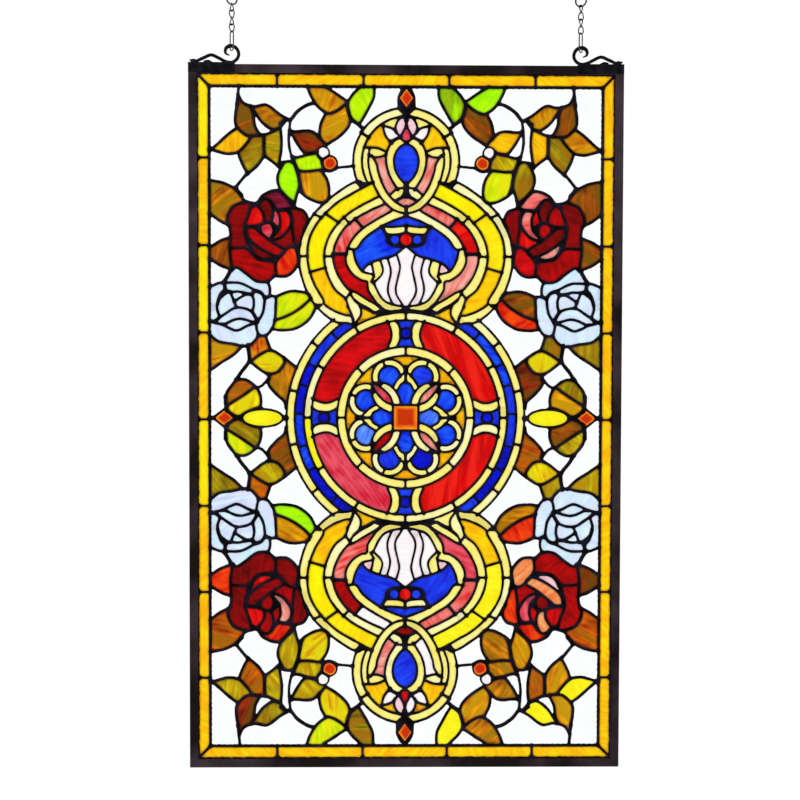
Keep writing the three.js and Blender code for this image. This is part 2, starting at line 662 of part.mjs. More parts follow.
const QUARTER_FIELDS = [
  ['field', -160, 380, 'field'],
  ['red_rose', -180, 215, 'red'],
  ['blue_rose', -190, 140, 'blue'],
  ['red_sector', -70, 70, 'red'],
  ['lobe_band', -105, 200, 'cream'],
  ['lobe_red_band', -76, 175, 'red'],
];
const QUARTERS = [['top_left', 1, 1], ['top_right', -1, 1], ['bottom_left', 1, -1], ['bottom_right', -1, -1]];
for (const [name, x, z, look] of QUARTER_FIELDS) {
  for (const [quarter, across, up] of QUARTERS) {
    FIELDS.push([`${name}_${quarter}`, x * across, up > 0 ? z : 2 * DRAWN_CENTRE - z, look]);
  }
}

const model = new THREE.Group();
model.position.z = -hangHeight;

function addNode(name, made, look) {
  const data = made.getMesh();
  const geometry = new THREE.BufferGeometry();
  geometry.setAttribute('position', new THREE.BufferAttribute(new Float32Array(data.vertProperties), 3));
  geometry.setIndex(new THREE.BufferAttribute(new Uint32Array(data.triVerts), 1));
  geometry.computeVertexNormals();
  const mesh = new THREE.Mesh(geometry, new THREE.MeshStandardMaterial(LOOKS[look]));
  mesh.name = name;
  model.add(mesh);
}

addNode('frame_top', channel.intersect(railWedge(true, 1)), 'frame');
addNode('frame_bottom', channel.intersect(railWedge(true, -1)), 'frame');
addNode('frame_left', channel.intersect(railWedge(false, -1)), 'frame');
addNode('frame_right', channel.intersect(railWedge(false, 1)), 'frame');
addNode('came', came, 'came');
addNode('scroll_left', scroll(-1), 'scroll');
addNode('scroll_right', scroll(1), 'scroll');
addNode('chain_left', chain(-1), 'chain');
addNode('chain_right', chain(1), 'chain');

// A small column through the glass at the spot, to find the piece that it meets
const PROBE = 0.6;
const jewelPane = sheet(jewelSquare(jewelHalf), -GLASS_HALF, GLASS_HALF);
const loose = [jewelPane].concat(panes);
addNode('diamond_top', sheet(topDiamond, -GLASS_HALF, GLASS_HALF), 'orange');
addNode('diamond_bottom', sheet(underneath(topDiamond), -GLASS_HALF, GLASS_HALF), 'orange');
const borderMiddle = (BORDER_WIDTH + FRAME_FACE) / 2;
const spots = FIELDS.map(([name, x, z, look]) => [name, place(x, z), look]);
for (const [name, across, up] of [['left', -1, 0], ['right', 1, 0], ['top', 0, 1], ['bottom', 0, -1]]) {
  const spot = new THREE.Vector2(across * (HALF_WIDTH - borderMiddle), up * (HALF_HEIGHT - borderMiddle));
  spots.push([`border_${name}`, spot, 'border']);
}
for (const [name, spot, look] of spots) {
  const probe = sheet(rectangle(PROBE, PROBE).map((p) => p.add(spot)), -GLASS_HALF, GLASS_HALF);
  const pane = loose.find((piece) => piece.intersect(probe).volume() > 0);
  if (!pane) throw new Error(`no glass at ${name}`);
  addNode(name, pane, look);
}

export default model;
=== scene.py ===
"""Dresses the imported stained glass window: its cuts of glass, solder lines, frame and hangers."""
import math
import random

import bpy
import numpy as np
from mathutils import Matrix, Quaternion, Vector
from mathutils.bvhtree import BVHTree
from mathutils.geometry import delaunay_2d_cdt, tessellate_polygon


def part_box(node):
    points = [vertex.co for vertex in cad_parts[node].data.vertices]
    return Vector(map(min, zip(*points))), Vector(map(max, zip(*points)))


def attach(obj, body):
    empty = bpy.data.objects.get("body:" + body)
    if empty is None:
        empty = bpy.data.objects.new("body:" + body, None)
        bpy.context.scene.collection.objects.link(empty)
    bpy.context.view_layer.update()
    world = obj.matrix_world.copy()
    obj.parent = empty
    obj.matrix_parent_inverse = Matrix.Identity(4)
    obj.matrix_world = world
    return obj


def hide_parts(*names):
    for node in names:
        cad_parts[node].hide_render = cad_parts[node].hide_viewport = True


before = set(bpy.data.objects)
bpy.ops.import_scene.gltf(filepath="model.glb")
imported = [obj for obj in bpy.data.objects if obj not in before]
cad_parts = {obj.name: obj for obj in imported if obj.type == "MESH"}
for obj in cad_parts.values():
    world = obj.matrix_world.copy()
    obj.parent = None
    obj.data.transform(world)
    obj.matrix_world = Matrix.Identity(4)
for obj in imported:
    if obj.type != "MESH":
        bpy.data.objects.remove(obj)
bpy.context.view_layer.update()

# Driving sizes, in millimetres as the design is drawn
MM = 0.001
GLASS_HALF = 1.5
BEAD_HEIGHT = 1.35
BEAD_SHOULDER = 1.45
BEAD_SUNK = 0.05
BEAD_LUMPS = 0.09
BEAD_RIPPLE = 0.05
GLASS_UNDER_BEAD = 0.25
FILLET = 2.2
LEAF_LINE = 2.8
LEAF_EXTRA = 0.5
BERRY_LINE = 2.2
DESIGN_CENTRE = 1.5

# Spacing of the points on drawn lines
POINT_STEP = 1.5
BORDER_STEP = 4
LEAST_RING_STEPS = 8

# The grid that the drawing is worked out on, from its middle out, and the limits of that work
GRID = 1.0
HALF_SPAN = np.array([246, 405])
STEPS = (2 * HALF_SPAN / GRID).astype(int) + 1
FAR = 50.0
FIELD_REACH = 6
STRETCH = 12
LEAST_LENGTH = 1e-9
LEAST_SHARE = 0.02

# How deep in the glass a grid point has to lie to count as open or as faint, the fewest points of a cut of
# glass, and how deep solder is made where it was too thin
OPEN_CELL = 0.15
FAINT_CELL = -0.3
LEAST_CELLS = 12
THIN_SOLDER = -0.6
NEAR_CELLS = [(i, j) for i in (-1, 0, 1) for j in (-1, 0, 1)] + [(-2, 0), (2, 0), (0, -2), (0, 2)]

# Outlines of the glass: the band inside them where painted shade darkens the glass towards the solder, the
# least areas that are kept, and how they are thinned
SHADED_RIM_WIDTH = 2.4
# Share of the painted rim shade on panes too thin to hold a core
THIN_RIM_SHADE = 0.35
LEAST_OUTLINE = 7
LEAST_CORE = 3
OUTLINE_SLACK = 0.22
LEAST_POINTS = 8
SAME_PLACE = 0.00001

low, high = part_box("frame_top")
PANEL_TOP = high.z
PANEL_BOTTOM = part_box("frame_bottom")[0].z
PANEL_CENTRE = (PANEL_TOP + PANEL_BOTTOM) / 2
FRAME_FRONT = low.y

# Solder lines of the top left quarter: the knots of one smooth run, x and z in turn, after the line's width
# where that isn't LEAF_LINE
CORNER_LINES = [
    (3, -195.5, 388.6, -196.3, 380, -198, 366),
    (-196, 378, -190, 368.7, -177, 364.7, -165, 366.8, -160, 365, -147, 355.2, -141, 351.6),
    (-197.3, 368, -199.7, 353, -199, 343, -190, 333, -184, 330.3, -172, 331),
    (-182, 365, -178.8, 356, -176.8, 343, -171, 331.5),
    (-178, 360, -168.5, 346.3, -157, 338.3, -151, 338.5, -146, 342, -140, 350),
    (-172, 331.5, -162, 333, -151, 338.5),
    (-230, 313, -221, 320.5, -207, 333, -198, 339.5),
    (-230, 315, -217, 311.2, -210, 309.6, -197, 311.5, -187, 321, -181, 329.5),
    (-196, 310, -194.2, 304, -188, 291, -185.5, 287.5),
    (3, -185.5, 287.5, -190.5, 281.5, -199, 271),
    (3.5, -166, 331, -166.2, 320, -165.8, 308),
    (-165.8, 308, -173, 297, -186, 285.5),
    (-165.5, 307, -155, 299.5, -149, 294),
    (-147, 340, -145.6, 325, -146, 315, -148.5, 299, -149, 296),
    (-135.5, 349, -137.3, 328, -136.5, 317, -133, 303),
    (3.6, -147, 345, -140, 349.5, -135.5, 349.5, -127.5, 358.8, -115, 367, -109, 368.7),
]
TOP_LINES = [
    (-116, 388.6, -112.5, 379, -104, 365.5, -94.5, 358, -90, 356.8, -79, 361.5, -69, 369.5),
    (-96, 388.6, -86, 382.5, -74, 374.5, -69.5, 371.5),
    (-53, 388.6, -64, 377.5, -69, 367, -66, 354, -57.5, 345.5),
    (-37.5, 388.6, -38, 376, -44, 363, -52, 349, -54.5, 344.5, -52.5, 341),
    (-62, 347.5, -57, 344.5, -51.5, 340),
    (-94.5, 356.5, -100.2, 344, -101, 330, -95, 321.5),
    (-69.5, 368, -65.5, 350, -67.5, 342, -78, 330.5, -93, 320.5),
    (-136, 337.5, -131, 335.8, -115, 336.8, -108, 335, -101, 328),
    (-134.5, 334, -126, 319.5, -118, 310.5, -107, 311, -104, 313),
    (2.5, -82, 294, -76, 294.5, -61, 296),
    (-134, 307, -128, 305.8, -112, 310.2, -104, 311.5),
    (-103, 308, -99.5, 303, -96.5, 291.5),
    (-127, 290, -115, 289.6, -97, 291.5, -90, 290, -82, 293),
    (-131.5, 303, -126.5, 290),
    (-149, 297, -141, 300.8, -136, 301, -132, 299, -125.5, 282, -124.5, 274, -128.5, 260, -131, 248),
    (-143.5, 299.5, -150, 285, -150, 276, -144.5, 264, -134, 255.5),
    (-125.8, 290, -125.3, 280, -121, 264),
    (-99, 290, -92.5, 280, -90, 267, -92, 256, -96, 253.5, -104, 253.8, -118, 260.5, -123, 265.5),
]
LEFT_LINES = [
    (-230, 279, -213, 275.6, -198.5, 268.5),
    (4.4, -199, 269, -193, 262),
    (-193, 262, -189, 254),
    (-230, 240.5, -219, 232.3, -207, 226),
    (-230, 200.5, -217, 208.5, -206, 212.5),
    (-230, 188, -218, 180, -205.5, 175),
    (4, -205, 174.5, -211, 164, -214.5, 159.5),
    (-153, 143, -140, 148.7, -132, 150, -117, 147.8, -113, 145.5),
    (-154, 115.5, -138, 121.5, -122, 131.5, -111, 142),
    (-156.5, 105.5, -148, 104, -129, 106.3, -113, 117.5, -105, 132),
    (-230, 56.5, -217, 65.5, -201, 76, -191, 86),
    (3.8, -185.5, 87, -184, 68, -193, 55, -199, 46),
    (-164.5, 98, -158.5, 80.5),
    (-183, 67, -170, 76, -158.5, 80.5, -145, 73.5, -128.3, 60.3),
    (-142.8, 71, -142.5, 66, -150, 55.5, -157, 53, -163, 53),
    (-183, 67.5, -170, 57, -160.5, 50.5, -161.3, 41, -152, 29, -142.5, 20, -141, 13),
    (-161, 48, -169, 39, -175, 36.5),
    (3, -199, 46, -209, 33, -211.5, 26),
    (4, -211.5, 26, -211.5, 18, -209.5, 9),
    (-199, 46, -188, 46, -176, 37.5, -171, 29, -169.8, 20, -171, 12.5),
    (-210, 15.5, -197, 23.5, -183, 33, -177, 37.5),
    (-209, 9, -202, 4.5, -197, 2.3, -187, 7.5, -174, 12.8, -169, 12.5),
]
RED_ROSE_LINES = [
    (3, -189, 253.5, -196, 251.5, -203, 247.5, -209.3, 234, -205.5, 219, -206, 195, -203.5, 175),
    (3, -203.5, 175, -199, 177.5, -188, 170.8, -176, 161.8, -168, 160.3, -161, 161.5, -154, 168),
    (3, -154, 168, -148, 167, -140, 167.5, -133.5, 171.5, -125.8, 184, -128, 201, -124.5, 205),
    (3, -119.5, 222, -115, 233, -120, 243.5, -131, 248, -149, 267, -167, 262, -175.5, 252.5, -189, 255),
    (-205, 199.5, -188, 200, -184, 198, -174, 187.5, -166, 186, -153, 184),
    (-181, 252, -183, 243, -188.7, 226, -188.7, 218, -184.5, 200),
    (-181, 248, -175, 249.8, -168, 242, -166, 234, -166.5, 229.3),
    (-188.5, 225, -171, 226.8, -166.5, 229, -158.5, 230.3),
    (-172, 252, -168, 256.5, -162, 257, -156.5, 249, -155.5, 241, -157, 234, -159, 230),
    (-158, 254, -153, 247, -150.5, 244, -143, 245, -131, 247.5),
    (-157, 230, -149, 223),
    (-150.5, 243, -147.8, 236, -147.5, 229, -149, 222, -157.5, 212),
    (-150, 244.5, -140, 244, -133.3, 233, -135.5, 226, -145, 213.8, -157, 208.5),
    (-135, 244, -133, 222, -130.5, 201),
    (-171, 226.8, -170.5, 219),
    (-159, 230, -155.5, 224, -155, 218, -157.5, 213),
    (-187, 224, -178, 224, -172, 219.5, -158, 208, -144, 199.5),
    (-187, 222, -185.5, 214, -180.5, 207, -164, 195.5, -150, 190.3, -144, 194),
    (-182, 202, -178.5, 194, -172.5, 188.8, -164, 186.8, -152, 190),
    (-130, 202.5, -137, 201, -143, 196, -149, 188.5, -152.8, 182, -152, 169),
]
BLUE_ROSE_LINES = [
    (-230, 154.5, -219, 159, -213.5, 159.3, -197, 159.5, -191, 158, -178, 151.5, -171, 149, -165, 142),
    (-165, 142, -161, 143, -159.3, 150, -160.3, 157, -163, 161),
    (-212.5, 159, -213, 152, -217.5, 146, -221.3, 130, -219, 119.5, -221.5, 116, -230, 114.3),
    (-212, 155, -209, 149.5, -196, 149, -183, 146.7, -179, 147),
    (-206, 149, -203.5, 143, -198.8, 131),
    (-208.5, 149, -218.5, 140.5, -221, 134),
    (-201, 137.5, -194.5, 142, -188, 145.5, -181.5, 146),
    (-180.5, 146, -178.5, 140, -178.3, 133, -179.5, 126, -175.5, 118.5),
    (-179, 150, -169, 147, -166, 142, -166, 134, -168, 124, -173.5, 114),
    (-165, 142.5, -157, 144, -153, 143, -152.7, 132, -153.5, 118, -156, 108, -164, 98, -172.5, 98),
    (-175.5, 113, -175, 106, -173, 98.5),
    (-222, 116, -209, 125, -203, 129, -196, 130.5, -182, 126.5, -174.5, 115),
    (-230, 114, -216, 111, -212, 111.5, -200, 116.5, -193, 117.3, -180, 114, -175, 113),
    (-216, 111, -205, 105.5, -198, 103.7, -185, 109.5, -175, 113),
    (-230, 99, -220, 91, -203, 88, -190, 85.3, -184, 86, -176, 93, -173, 98),
]
LOBE_LINES = [
    (-54, 278, -61, 277, -82, 264, -97, 251.5, -108, 240, -116.5, 226, -123, 209.5, -125.5, 190,
     -124.5, 177, -119.5, 158, -112.5, 142.5, -104, 131, -93.5, 121, -81, 113.5, -68, 112.5, -60, 109.5),
    (3, -57, 276, -53, 271.5),
    (3, -108, 240, -99, 236),
    (3, -125.5, 190.8, -115.5, 190.8),
    (4.5, -105, 133, -100.5, 133.5),
    (-39.5, 277, -48, 272.5, -64, 263.5, -80, 254, -95, 240.5, -106, 226.5, -113, 212, -115.7, 194,
     -113.7, 176, -107, 157, -97, 139.5, -96, 135, -84, 126.8, -70, 121.7, -64.5, 121, -62, 117),
    (-95, 241, -79, 230),
    (-113, 172, -94.5, 177.5),
    (-33, 260, -48, 252.5, -64, 243, -79, 230, -90, 214, -95.5, 196, -94, 176, -83, 152,
     -71.5, 142, -69, 137, -68, 132),
    (-73.5, 237, -66, 229),
    (-95.5, 190.7, -86, 190.7),
    (-70.5, 141, -64, 150.5),
    (-26.5, 251.5, -42, 244.5, -58, 235.5, -70, 226, -80, 211.5, -85.3, 195, -84, 180, -76, 162.5,
     -66, 151, -60, 149, -45, 140, -30, 131.5),
    (3.5, -60, 235, -52, 225.5),
    (4, -86, 193.5, -70, 193.5),
    (-17.5, 243.5, -36, 233, -50, 224, -61, 213, -68.5, 199, -70.3, 184, -63, 170.5, -51, 162.5,
     -46, 161.5, -44, 151, -36, 138.5, -31, 132),
    (-65, 147, -60, 139.5, -44, 130, -34, 124.5, -28, 129),
    (-60, 139.5, -55.5, 135, -53, 129, -53, 122, -58.5, 113.5, -60.5, 110),
    (-68, 132, -63, 121, -61.8, 114),
    (-53, 132, -46, 129, -38, 124.5),
    (5, -33, 125.3, -22, 125.3),
]
HEART_LINES = [
    (-2, 237.5, -20, 230.5, -36, 221.5, -50, 210.5, -58.5, 199.5, -69, 200),
    (-62, 198, -58.8, 185, -51.5, 173.5, -38, 168.5, -41, 161),
    (-38, 160, -31, 146, -26, 139.5, -19, 135.5, 0, 131.5),
    (-33, 134, -27, 129.5, -20, 126.8, -10, 127.5, 0, 129),
    (-29, 226, -25.5, 220.5, -18.5, 206, -14, 203, 0, 202.5),
    (-3, 200.5, -15, 191.5, -30, 187.3, -44, 181.5, -51, 174.5),
    (2.6, -29, 225.5, -16, 225.2, -8, 225.8, 0, 226.8),
    (-27.5, 224.5, -23.5, 218, -18.5, 215.6, -12, 215.8, 0, 219),
    (2.6, 0, 218, 0, 227),
    (14, -17, 210.5, 0, 210.5),
    (-40.5, 183, -38.7, 175, -37.6, 168),
    (2.6, -10, 191, -7, 178.5, -8.3, 171, -12, 153, -11, 146, -4, 134.5),
    (2.6, -21.5, 188.5, -17.8, 173, -21, 156, -20.8, 148, -16, 136),
    (2.6, -30, 186, -27, 175, -28.5, 169.5, -38, 159.5),
]
FINIAL_LINES = [
    (3.4, -43.5, 329, -53.5, 335.3),
    (5, 0, 350, 0, 368),
    (-56, 278.5, -47, 275.5, -38.5, 277.5),
    (-43, 317, -44.5, 301, -43, 291, -37, 272.5, -27, 256, -14, 244.8, 0, 240.5),
    (-49.5, 317.5, -34, 317, -24, 313),
    (-28, 344, -24, 331, -16.5, 322.5),
    (-28, 343.5, -15.5, 339.3, -12, 335),
    (-3, 355.5, -9.5, 349.5, -12.6, 342, -11.5, 336, -7.5, 330),
    (2.6, 0, 342, 0, 356),
    (2.6, 0, 343, -3.5, 337, -6, 331, -5, 326.5, 0, 324),
    (-19.5, 325, -13, 326.8, -8.5, 329.5, -6, 331),
    (2.6, 0, 322.8, -7.5, 318.5, -12.8, 311, -14.6, 302, -13, 292, -8, 282.5, 0, 274),
    (-6.5, 329, -12, 328, -18, 322.5, -22, 314.5, -23.8, 305, -20.3, 287, -12.3, 272.5, -9.5, 268),
    (-44, 309.5, -38, 306.5, -31, 306.8, -24, 309.5),
    (-40.5, 308.5, -34.5, 298, -33, 290, -26, 271.5, -20, 262, -13.5, 255.5, -6, 250.5, 0, 248),
    (-18, 263.5, -10, 269.8, 0, 270.8),
    (-13, 255.8, -5.5, 260.3, 0, 270),
    (2.6, -9.5, 257.5, 0, 260.3),
    (5, 0, 275, 0, 262),
    (3, 0, 249, 0, 238),
    (11, 0, 383.5, 0, 380),
    (16, 0, 379.5, 0, 376),
    (20.5, 0, 374, 0, 367),
]
LEAF_LINES = CORNER_LINES + TOP_LINES + LEFT_LINES + RED_ROSE_LINES + BLUE_ROSE_LINES
BAND_LINES = LOBE_LINES + HEART_LINES + FINIAL_LINES

# Rings drawn in the top left quarter: x, z, half width, half height, first and last angle, line width
QUARTER_RINGS = [
    (-97, 311.3, 7, 7, 0, 360, BERRY_LINE),
    (-89.3, 299, 8.6, 8.6, 0, 360, BERRY_LINE),
    (0, 302, 62, 62, 90, 203, LEAF_LINE),
    (0, 302, 51.8, 51.8, 90, 210, LEAF_LINE),
]

QUARTERS = {"top_left": (1, 1), "top_right": (-1, 1), "bottom_left": (1, -1), "bottom_right": (-1, -1)}


def both_sides(*angles):
    return [seen for angle in angles for seen in (angle, 180 - angle)]


# The medallion, by the radii of its rings across the panel; it stands a little taller than wide
TALLNESS = 1.035
RING_LINE = 2.6
FULL_RINGS = (119.7, 110.7, 80.7, 70.6)
SIDE_RINGS = ((140, 127), (130.5, 125))
MEDALLION_SEAMS = [
    (both_sides(142, 167, 193, 218), 130.5, 140, 3.2),
    (both_sides(132, 151.5, 163, 178, 195, 208, 228), 119.7, 130.5, 2.2),
    (range(0, 360, 30), 110.7, 119.7, 3.2),
    (range(0, 360, 45), 70.6, 80.7, 2.8),
]
# Lines of the top hub and petals, across and out from the centre; each is mirrored and turned to four sides
TURNED_LINES = [
    (-22, 110.2, -18.5, 102.9, -16.8, 96, -17.3, 89.4, -21, 81),
    (-12, 110.2, -8.5, 105.8, -6.3, 98, -6.3, 92.3, -8, 86, -10, 81.5),
    (2.6, 0, 41, -5.5, 38.3, -9.6, 31),
    (2.6, 0, 53.5, -4.5, 49, -9.8, 43.2, -14, 36.5),
    (2.6, 0, 41, 0, 53),
    (3.4, 0, 53.5, 0, 58),
    (2.6, -38, 40, -26, 39.6, -15.5, 34.5, -8.6, 25, -5.5, 16.2),
    (2.6, -34.5, 37.8, -28, 33.8, -19, 25.3, -16, 19, -15.4, 16.2),
]
SEAM_INSET = 1.3
HUB_DOT = (96, 6.3)
PETAL_CENTRE = 50.5
PETAL_ANGLES = [45 * (k + 0.5) for k in range(8)]
PETAL_RINGS = ((12.8, 112), (20.3, 90))
JEWEL_HALF = 13.5
JEWEL_LINE = 3

# Border, side jewels and the lip of solder along the frame
BORDER_X = 230
BORDER_Z = 388.1
BORDER_LINE = 3.4
LIP_X = 244.4
LIP_Z = 403.4
LIP_LINE = 3.4
MITRE_LINE = 3
MITRE_X = 246
MITRE_Z = 404.5
SEAM_LINE = 2.3
TOP_SEAM_EXTRA = 0.3
SIDE_SEAMS = [102 * k - 0.8 for k in range(-3, 4)]
TOP_SEAMS = (-151, -50, 50, 151)
SEAM_BLOB = 5.5
OVAL = (168, 1, 22.3, 8.9)
SIDE_DIAMOND = (213, 1, 9.8, 7)
DIAMOND_REACH = 1.25 * LEAF_LINE
TOP_DIAMOND = (0, 375.2, 7.6, 10.4)
HEART_DOTS = ((-13, 210.4, 4.7), (0, 210.4, 6.5), (13, 210.4, 4.7))
SIDE_PADS = [(5, 230, 1, 225, 1), (6, 203, 1, 192, 1), (6, 144, 1, 140, 1)]


def smooth_run(numbers):
    """Points about a POINT_STEP apart on a centripetal Catmull-Rom curve through the knots."""
    knots = np.array(numbers, float).reshape(-1, 2)
    knots = np.vstack([2 * knots[0] - knots[1], knots, 2 * knots[-1] - knots[-2]])
    points = []
    for i in range(1, len(knots) - 2):
        p0, p1, p2, p3 = knots[i - 1:i + 3]
        t1 = math.sqrt(np.linalg.norm(p1 - p0))
        t2 = t1 + math.sqrt(np.linalg.norm(p2 - p1))
        t3 = t2 + math.sqrt(np.linalg.norm(p3 - p2))
        steps = max(2, int(np.linalg.norm(p2 - p1) / POINT_STEP))
        t = np.linspace(t1, t2, steps, endpoint=False)[:, None]
        a1 = (t1 - t) / t1 * p0 + t / t1 * p1
        a2 = (t2 - t) / (t2 - t1) * p1 + (t - t1) / (t2 - t1) * p2
        a3 = (t3 - t) / (t3 - t2) * p2 + (t - t2) / (t3 - t2) * p3
        b1 = (t2 - t) / t2 * a1 + t / t2 * a2
        b2 = (t3 - t) / (t3 - t1) * a2 + (t - t1) / (t3 - t1) * a3
        points.append((t2 - t) / (t2 - t1) * b1 + (t - t1) / (t2 - t1) * b2)
    points.append(knots[-2][None, :])
    return np.vstack(points)


def ring_run(x, z, half_width, half_height, first=0, last=360):
    """Points on an ellipse or an arc of one, between two angles."""
    steps = max(LEAST_RING_STEPS, int(abs(last - first) * math.pi / 180 * half_width / POINT_STEP))
    turn = np.radians(np.linspace(first, last, steps + 1))
    return np.stack([x + half_width * np.cos(turn), z + half_height * np.sin(turn)], 1)


def medallion_ring(radius, first=0, last=360):
    return ring_run(0, DESIGN_CENTRE, radius, radius * TALLNESS, first, last)


def medallion_point(radius, degrees):
    turn = math.radians(degrees)
    return radius * math.cos(turn), DESIGN_CENTRE + radius * TALLNESS * math.sin(turn)


def rectangle(half_x, half_z):
    return np.array([(-1, -1), (1, -1), (1, 1), (-1, 1), (-1, -1)]) * [half_x, half_z]


def quarter_place(x, z, quarter):
    across, up = QUARTERS[quarter]
    return x * across, z if up > 0 else 2 * DESIGN_CENTRE - z


def turned_place(u, v, side):
    x, z = ((u, v), (-v, u), (-u, -v), (v, -u))[side]
    return x, DESIGN_CENTRE + z * TALLNESS


def drawn_lines(lines, extra=0):
    """A width and smooth points for each line, which is LEAF_LINE wide unless it starts with a width."""
    runs = []
    for line in lines:
        own = len(line) % 2
        width = line[0] if own else LEAF_LINE
        runs.append((width + extra, smooth_run(line[own:])))
    return runs


def quarter_runs():
    """Every line of the quarter's drawing, in all four quarters."""
    drawn = drawn_lines(LEAF_LINES, LEAF_EXTRA) + drawn_lines(BAND_LINES)
    drawn += [(width, ring_run(*ring)) for *ring, width in QUARTER_RINGS]
    return [(width, np.array([quarter_place(x, z, quarter) for x, z in points]))
            for width, points in drawn for quarter in QUARTERS]


def medallion_runs():
    """The medallion's rings, seams, hubs and petals, and its square jewel."""
    runs = [(RING_LINE, medallion_ring(radius)) for radius in FULL_RINGS]
    for radius, first in SIDE_RINGS:
        for turn in (0, 180):
            runs.append((RING_LINE, medallion_ring(radius, turn + first, turn + 360 - first)))
    for angles, inner, outer, width in MEDALLION_SEAMS:
        for angle in angles:
            ends = [medallion_point(inner + SEAM_INSET, angle), medallion_point(outer - SEAM_INSET, angle)]
            runs.append((width, np.array(ends)))
    for width, points in drawn_lines(TURNED_LINES):
        for side in range(4):
            for mirror in (1, -1):
                runs.append((width, np.array([turned_place(mirror * u, v, side) for u, v in points])))
    for side in range(4):
        runs.append((RING_LINE, ring_run(*turned_place(0, HUB_DOT[0], side), HUB_DOT[1], HUB_DOT[1])))
    for angle in PETAL_ANGLES:
        x, z = medallion_point(PETAL_CENTRE, angle)
        for radius, reach in PETAL_RINGS:
            runs.append((RING_LINE, ring_run(x, z, radius, radius, angle - reach, angle + reach)))
        out = math.radians(angle)
        seam = [(x + radius * math.cos(out), z + radius * math.sin(out)) for radius, _ in PETAL_RINGS]
        runs.append((RING_LINE, np.array(seam)))
    half = JEWEL_HALF + JEWEL_LINE / 2
    runs.append((JEWEL_LINE, rectangle(half, half) + [0, DESIGN_CENTRE]))
    return runs


def straight(width, x0, z0, x1, z1):
    return width, np.array([(x0, z0), (x1, z1)])


def border_runs():
    """The border's two lines with their mitres and seams, and the lines round the side jewels."""
    runs = []
    for half_x, half_z, width in ((BORDER_X, BORDER_Z, BORDER_LINE), (LIP_X, LIP_Z, LIP_LINE)):
        corners = rectangle(half_x, half_z)
        for start, end in zip(corners, corners[1:]):
            runs.append((width, np.linspace(start, end, int(math.dist(start, end) / BORDER_STEP))))
    for side in (-1, 1):
        for up in (-1, 1):
            runs.append(straight(MITRE_LINE, side * BORDER_X, up * BORDER_Z, side * MITRE_X, up * MITRE_Z))
        for z in SIDE_SEAMS:
            runs.append(straight(SEAM_LINE, side * BORDER_X, z, side * LIP_X, z))
            runs.append(straight(SEAM_BLOB, side * LIP_X, z, side * (LIP_X - 1), z))
        for x in TOP_SEAMS:
            runs.append(straight(SEAM_LINE + TOP_SEAM_EXTRA, x, side * BORDER_Z, x, side * LIP_Z))
            runs.append(straight(SEAM_BLOB, x, side * LIP_Z, x, side * (LIP_Z - 1)))
        for width, x0, z0, x1, z1 in SIDE_PADS:
            runs.append(straight(width, side * x0, z0, side * x1, z1))
        x, z, half_x, half_z = OVAL
        grow = LEAF_LINE / 2
        runs.append((LEAF_LINE, ring_run(side * x, z, half_x + grow, half_z + grow)))
        x, z, half_x, half_z = SIDE_DIAMOND
        corners = [(side * x - half_x - DIAMOND_REACH, z), (side * x, z - half_z - DIAMOND_REACH),
                   (side * x + half_x + DIAMOND_REACH, z), (side * x, z + half_z + DIAMOND_REACH)]
        runs.append((LEAF_LINE, np.array(corners + corners[:1])))
    return runs


def grid_window(points, reach, least, most):
    """First and last steps of the grid within reach of the points, kept between least and most."""
    low = ((points.min(0) - reach + HALF_SPAN) / GRID).astype(int)
    high = ((points.max(0) + reach + HALF_SPAN) / GRID).astype(int) + 2
    return np.maximum(low, least), np.minimum(high, most)


def grid_places(low=(0, 0), high=STEPS):
    """The x of the grid's points as a column, and their z as a row."""
    x = np.arange(low[0], high[0]) * GRID - HALF_SPAN[0]
    z = np.arange(low[1], high[1]) * GRID - HALF_SPAN[1]
    return x[:, None], z[None, :]


def distance_to_run(points, low, high, reach):
    """The distance from each grid point in the window to the run, worked out in short stretches."""
    window = np.full(high - low, FAR)
    for start in range(0, len(points) - 1, STRETCH):
        part = points[start:start + STRETCH + 1]
        first, last = grid_window(part, reach, low, high)
        if (first >= last).any():
            continue
        x, z = (places[..., None] for places in grid_places(first, last))
        begin = part[:-1]
        way = part[1:] - begin
        length = np.maximum((way ** 2).sum(1), LEAST_LENGTH)
        along = np.clip(((x - begin[:, 0]) * way[:, 0] + (z - begin[:, 1]) * way[:, 1]) / length, 0, 1)
        off_x = x - begin[:, 0] - along * way[:, 0]
        off_z = z - begin[:, 1] - along * way[:, 1]
        nearest = np.sqrt((off_x ** 2 + off_z ** 2).min(2))
        view = window[first[0] - low[0]:last[0] - low[0], first[1] - low[1]:last[1] - low[1]]
        np.minimum(view, nearest, out=view)
    return window


def solder_field():
    """The drawing as a field of distances: below nought in the solder, above nought in the glass."""
    field = np.full(STEPS, FAR)
    for width, points in quarter_runs() + medallion_runs() + border_runs():
        reach = width / 2 + FIELD_REACH
        low, high = grid_window(points, reach, 0, STEPS)
        mine = distance_to_run(points, low, high, reach) - width / 2
        whole = field[low[0]:high[0], low[1]:high[1]]
        blend = np.maximum(FILLET - np.abs(whole - mine), 0) / FILLET
        whole[:] = np.minimum(whole, mine) - blend ** 2 * FILLET / 4
    return field


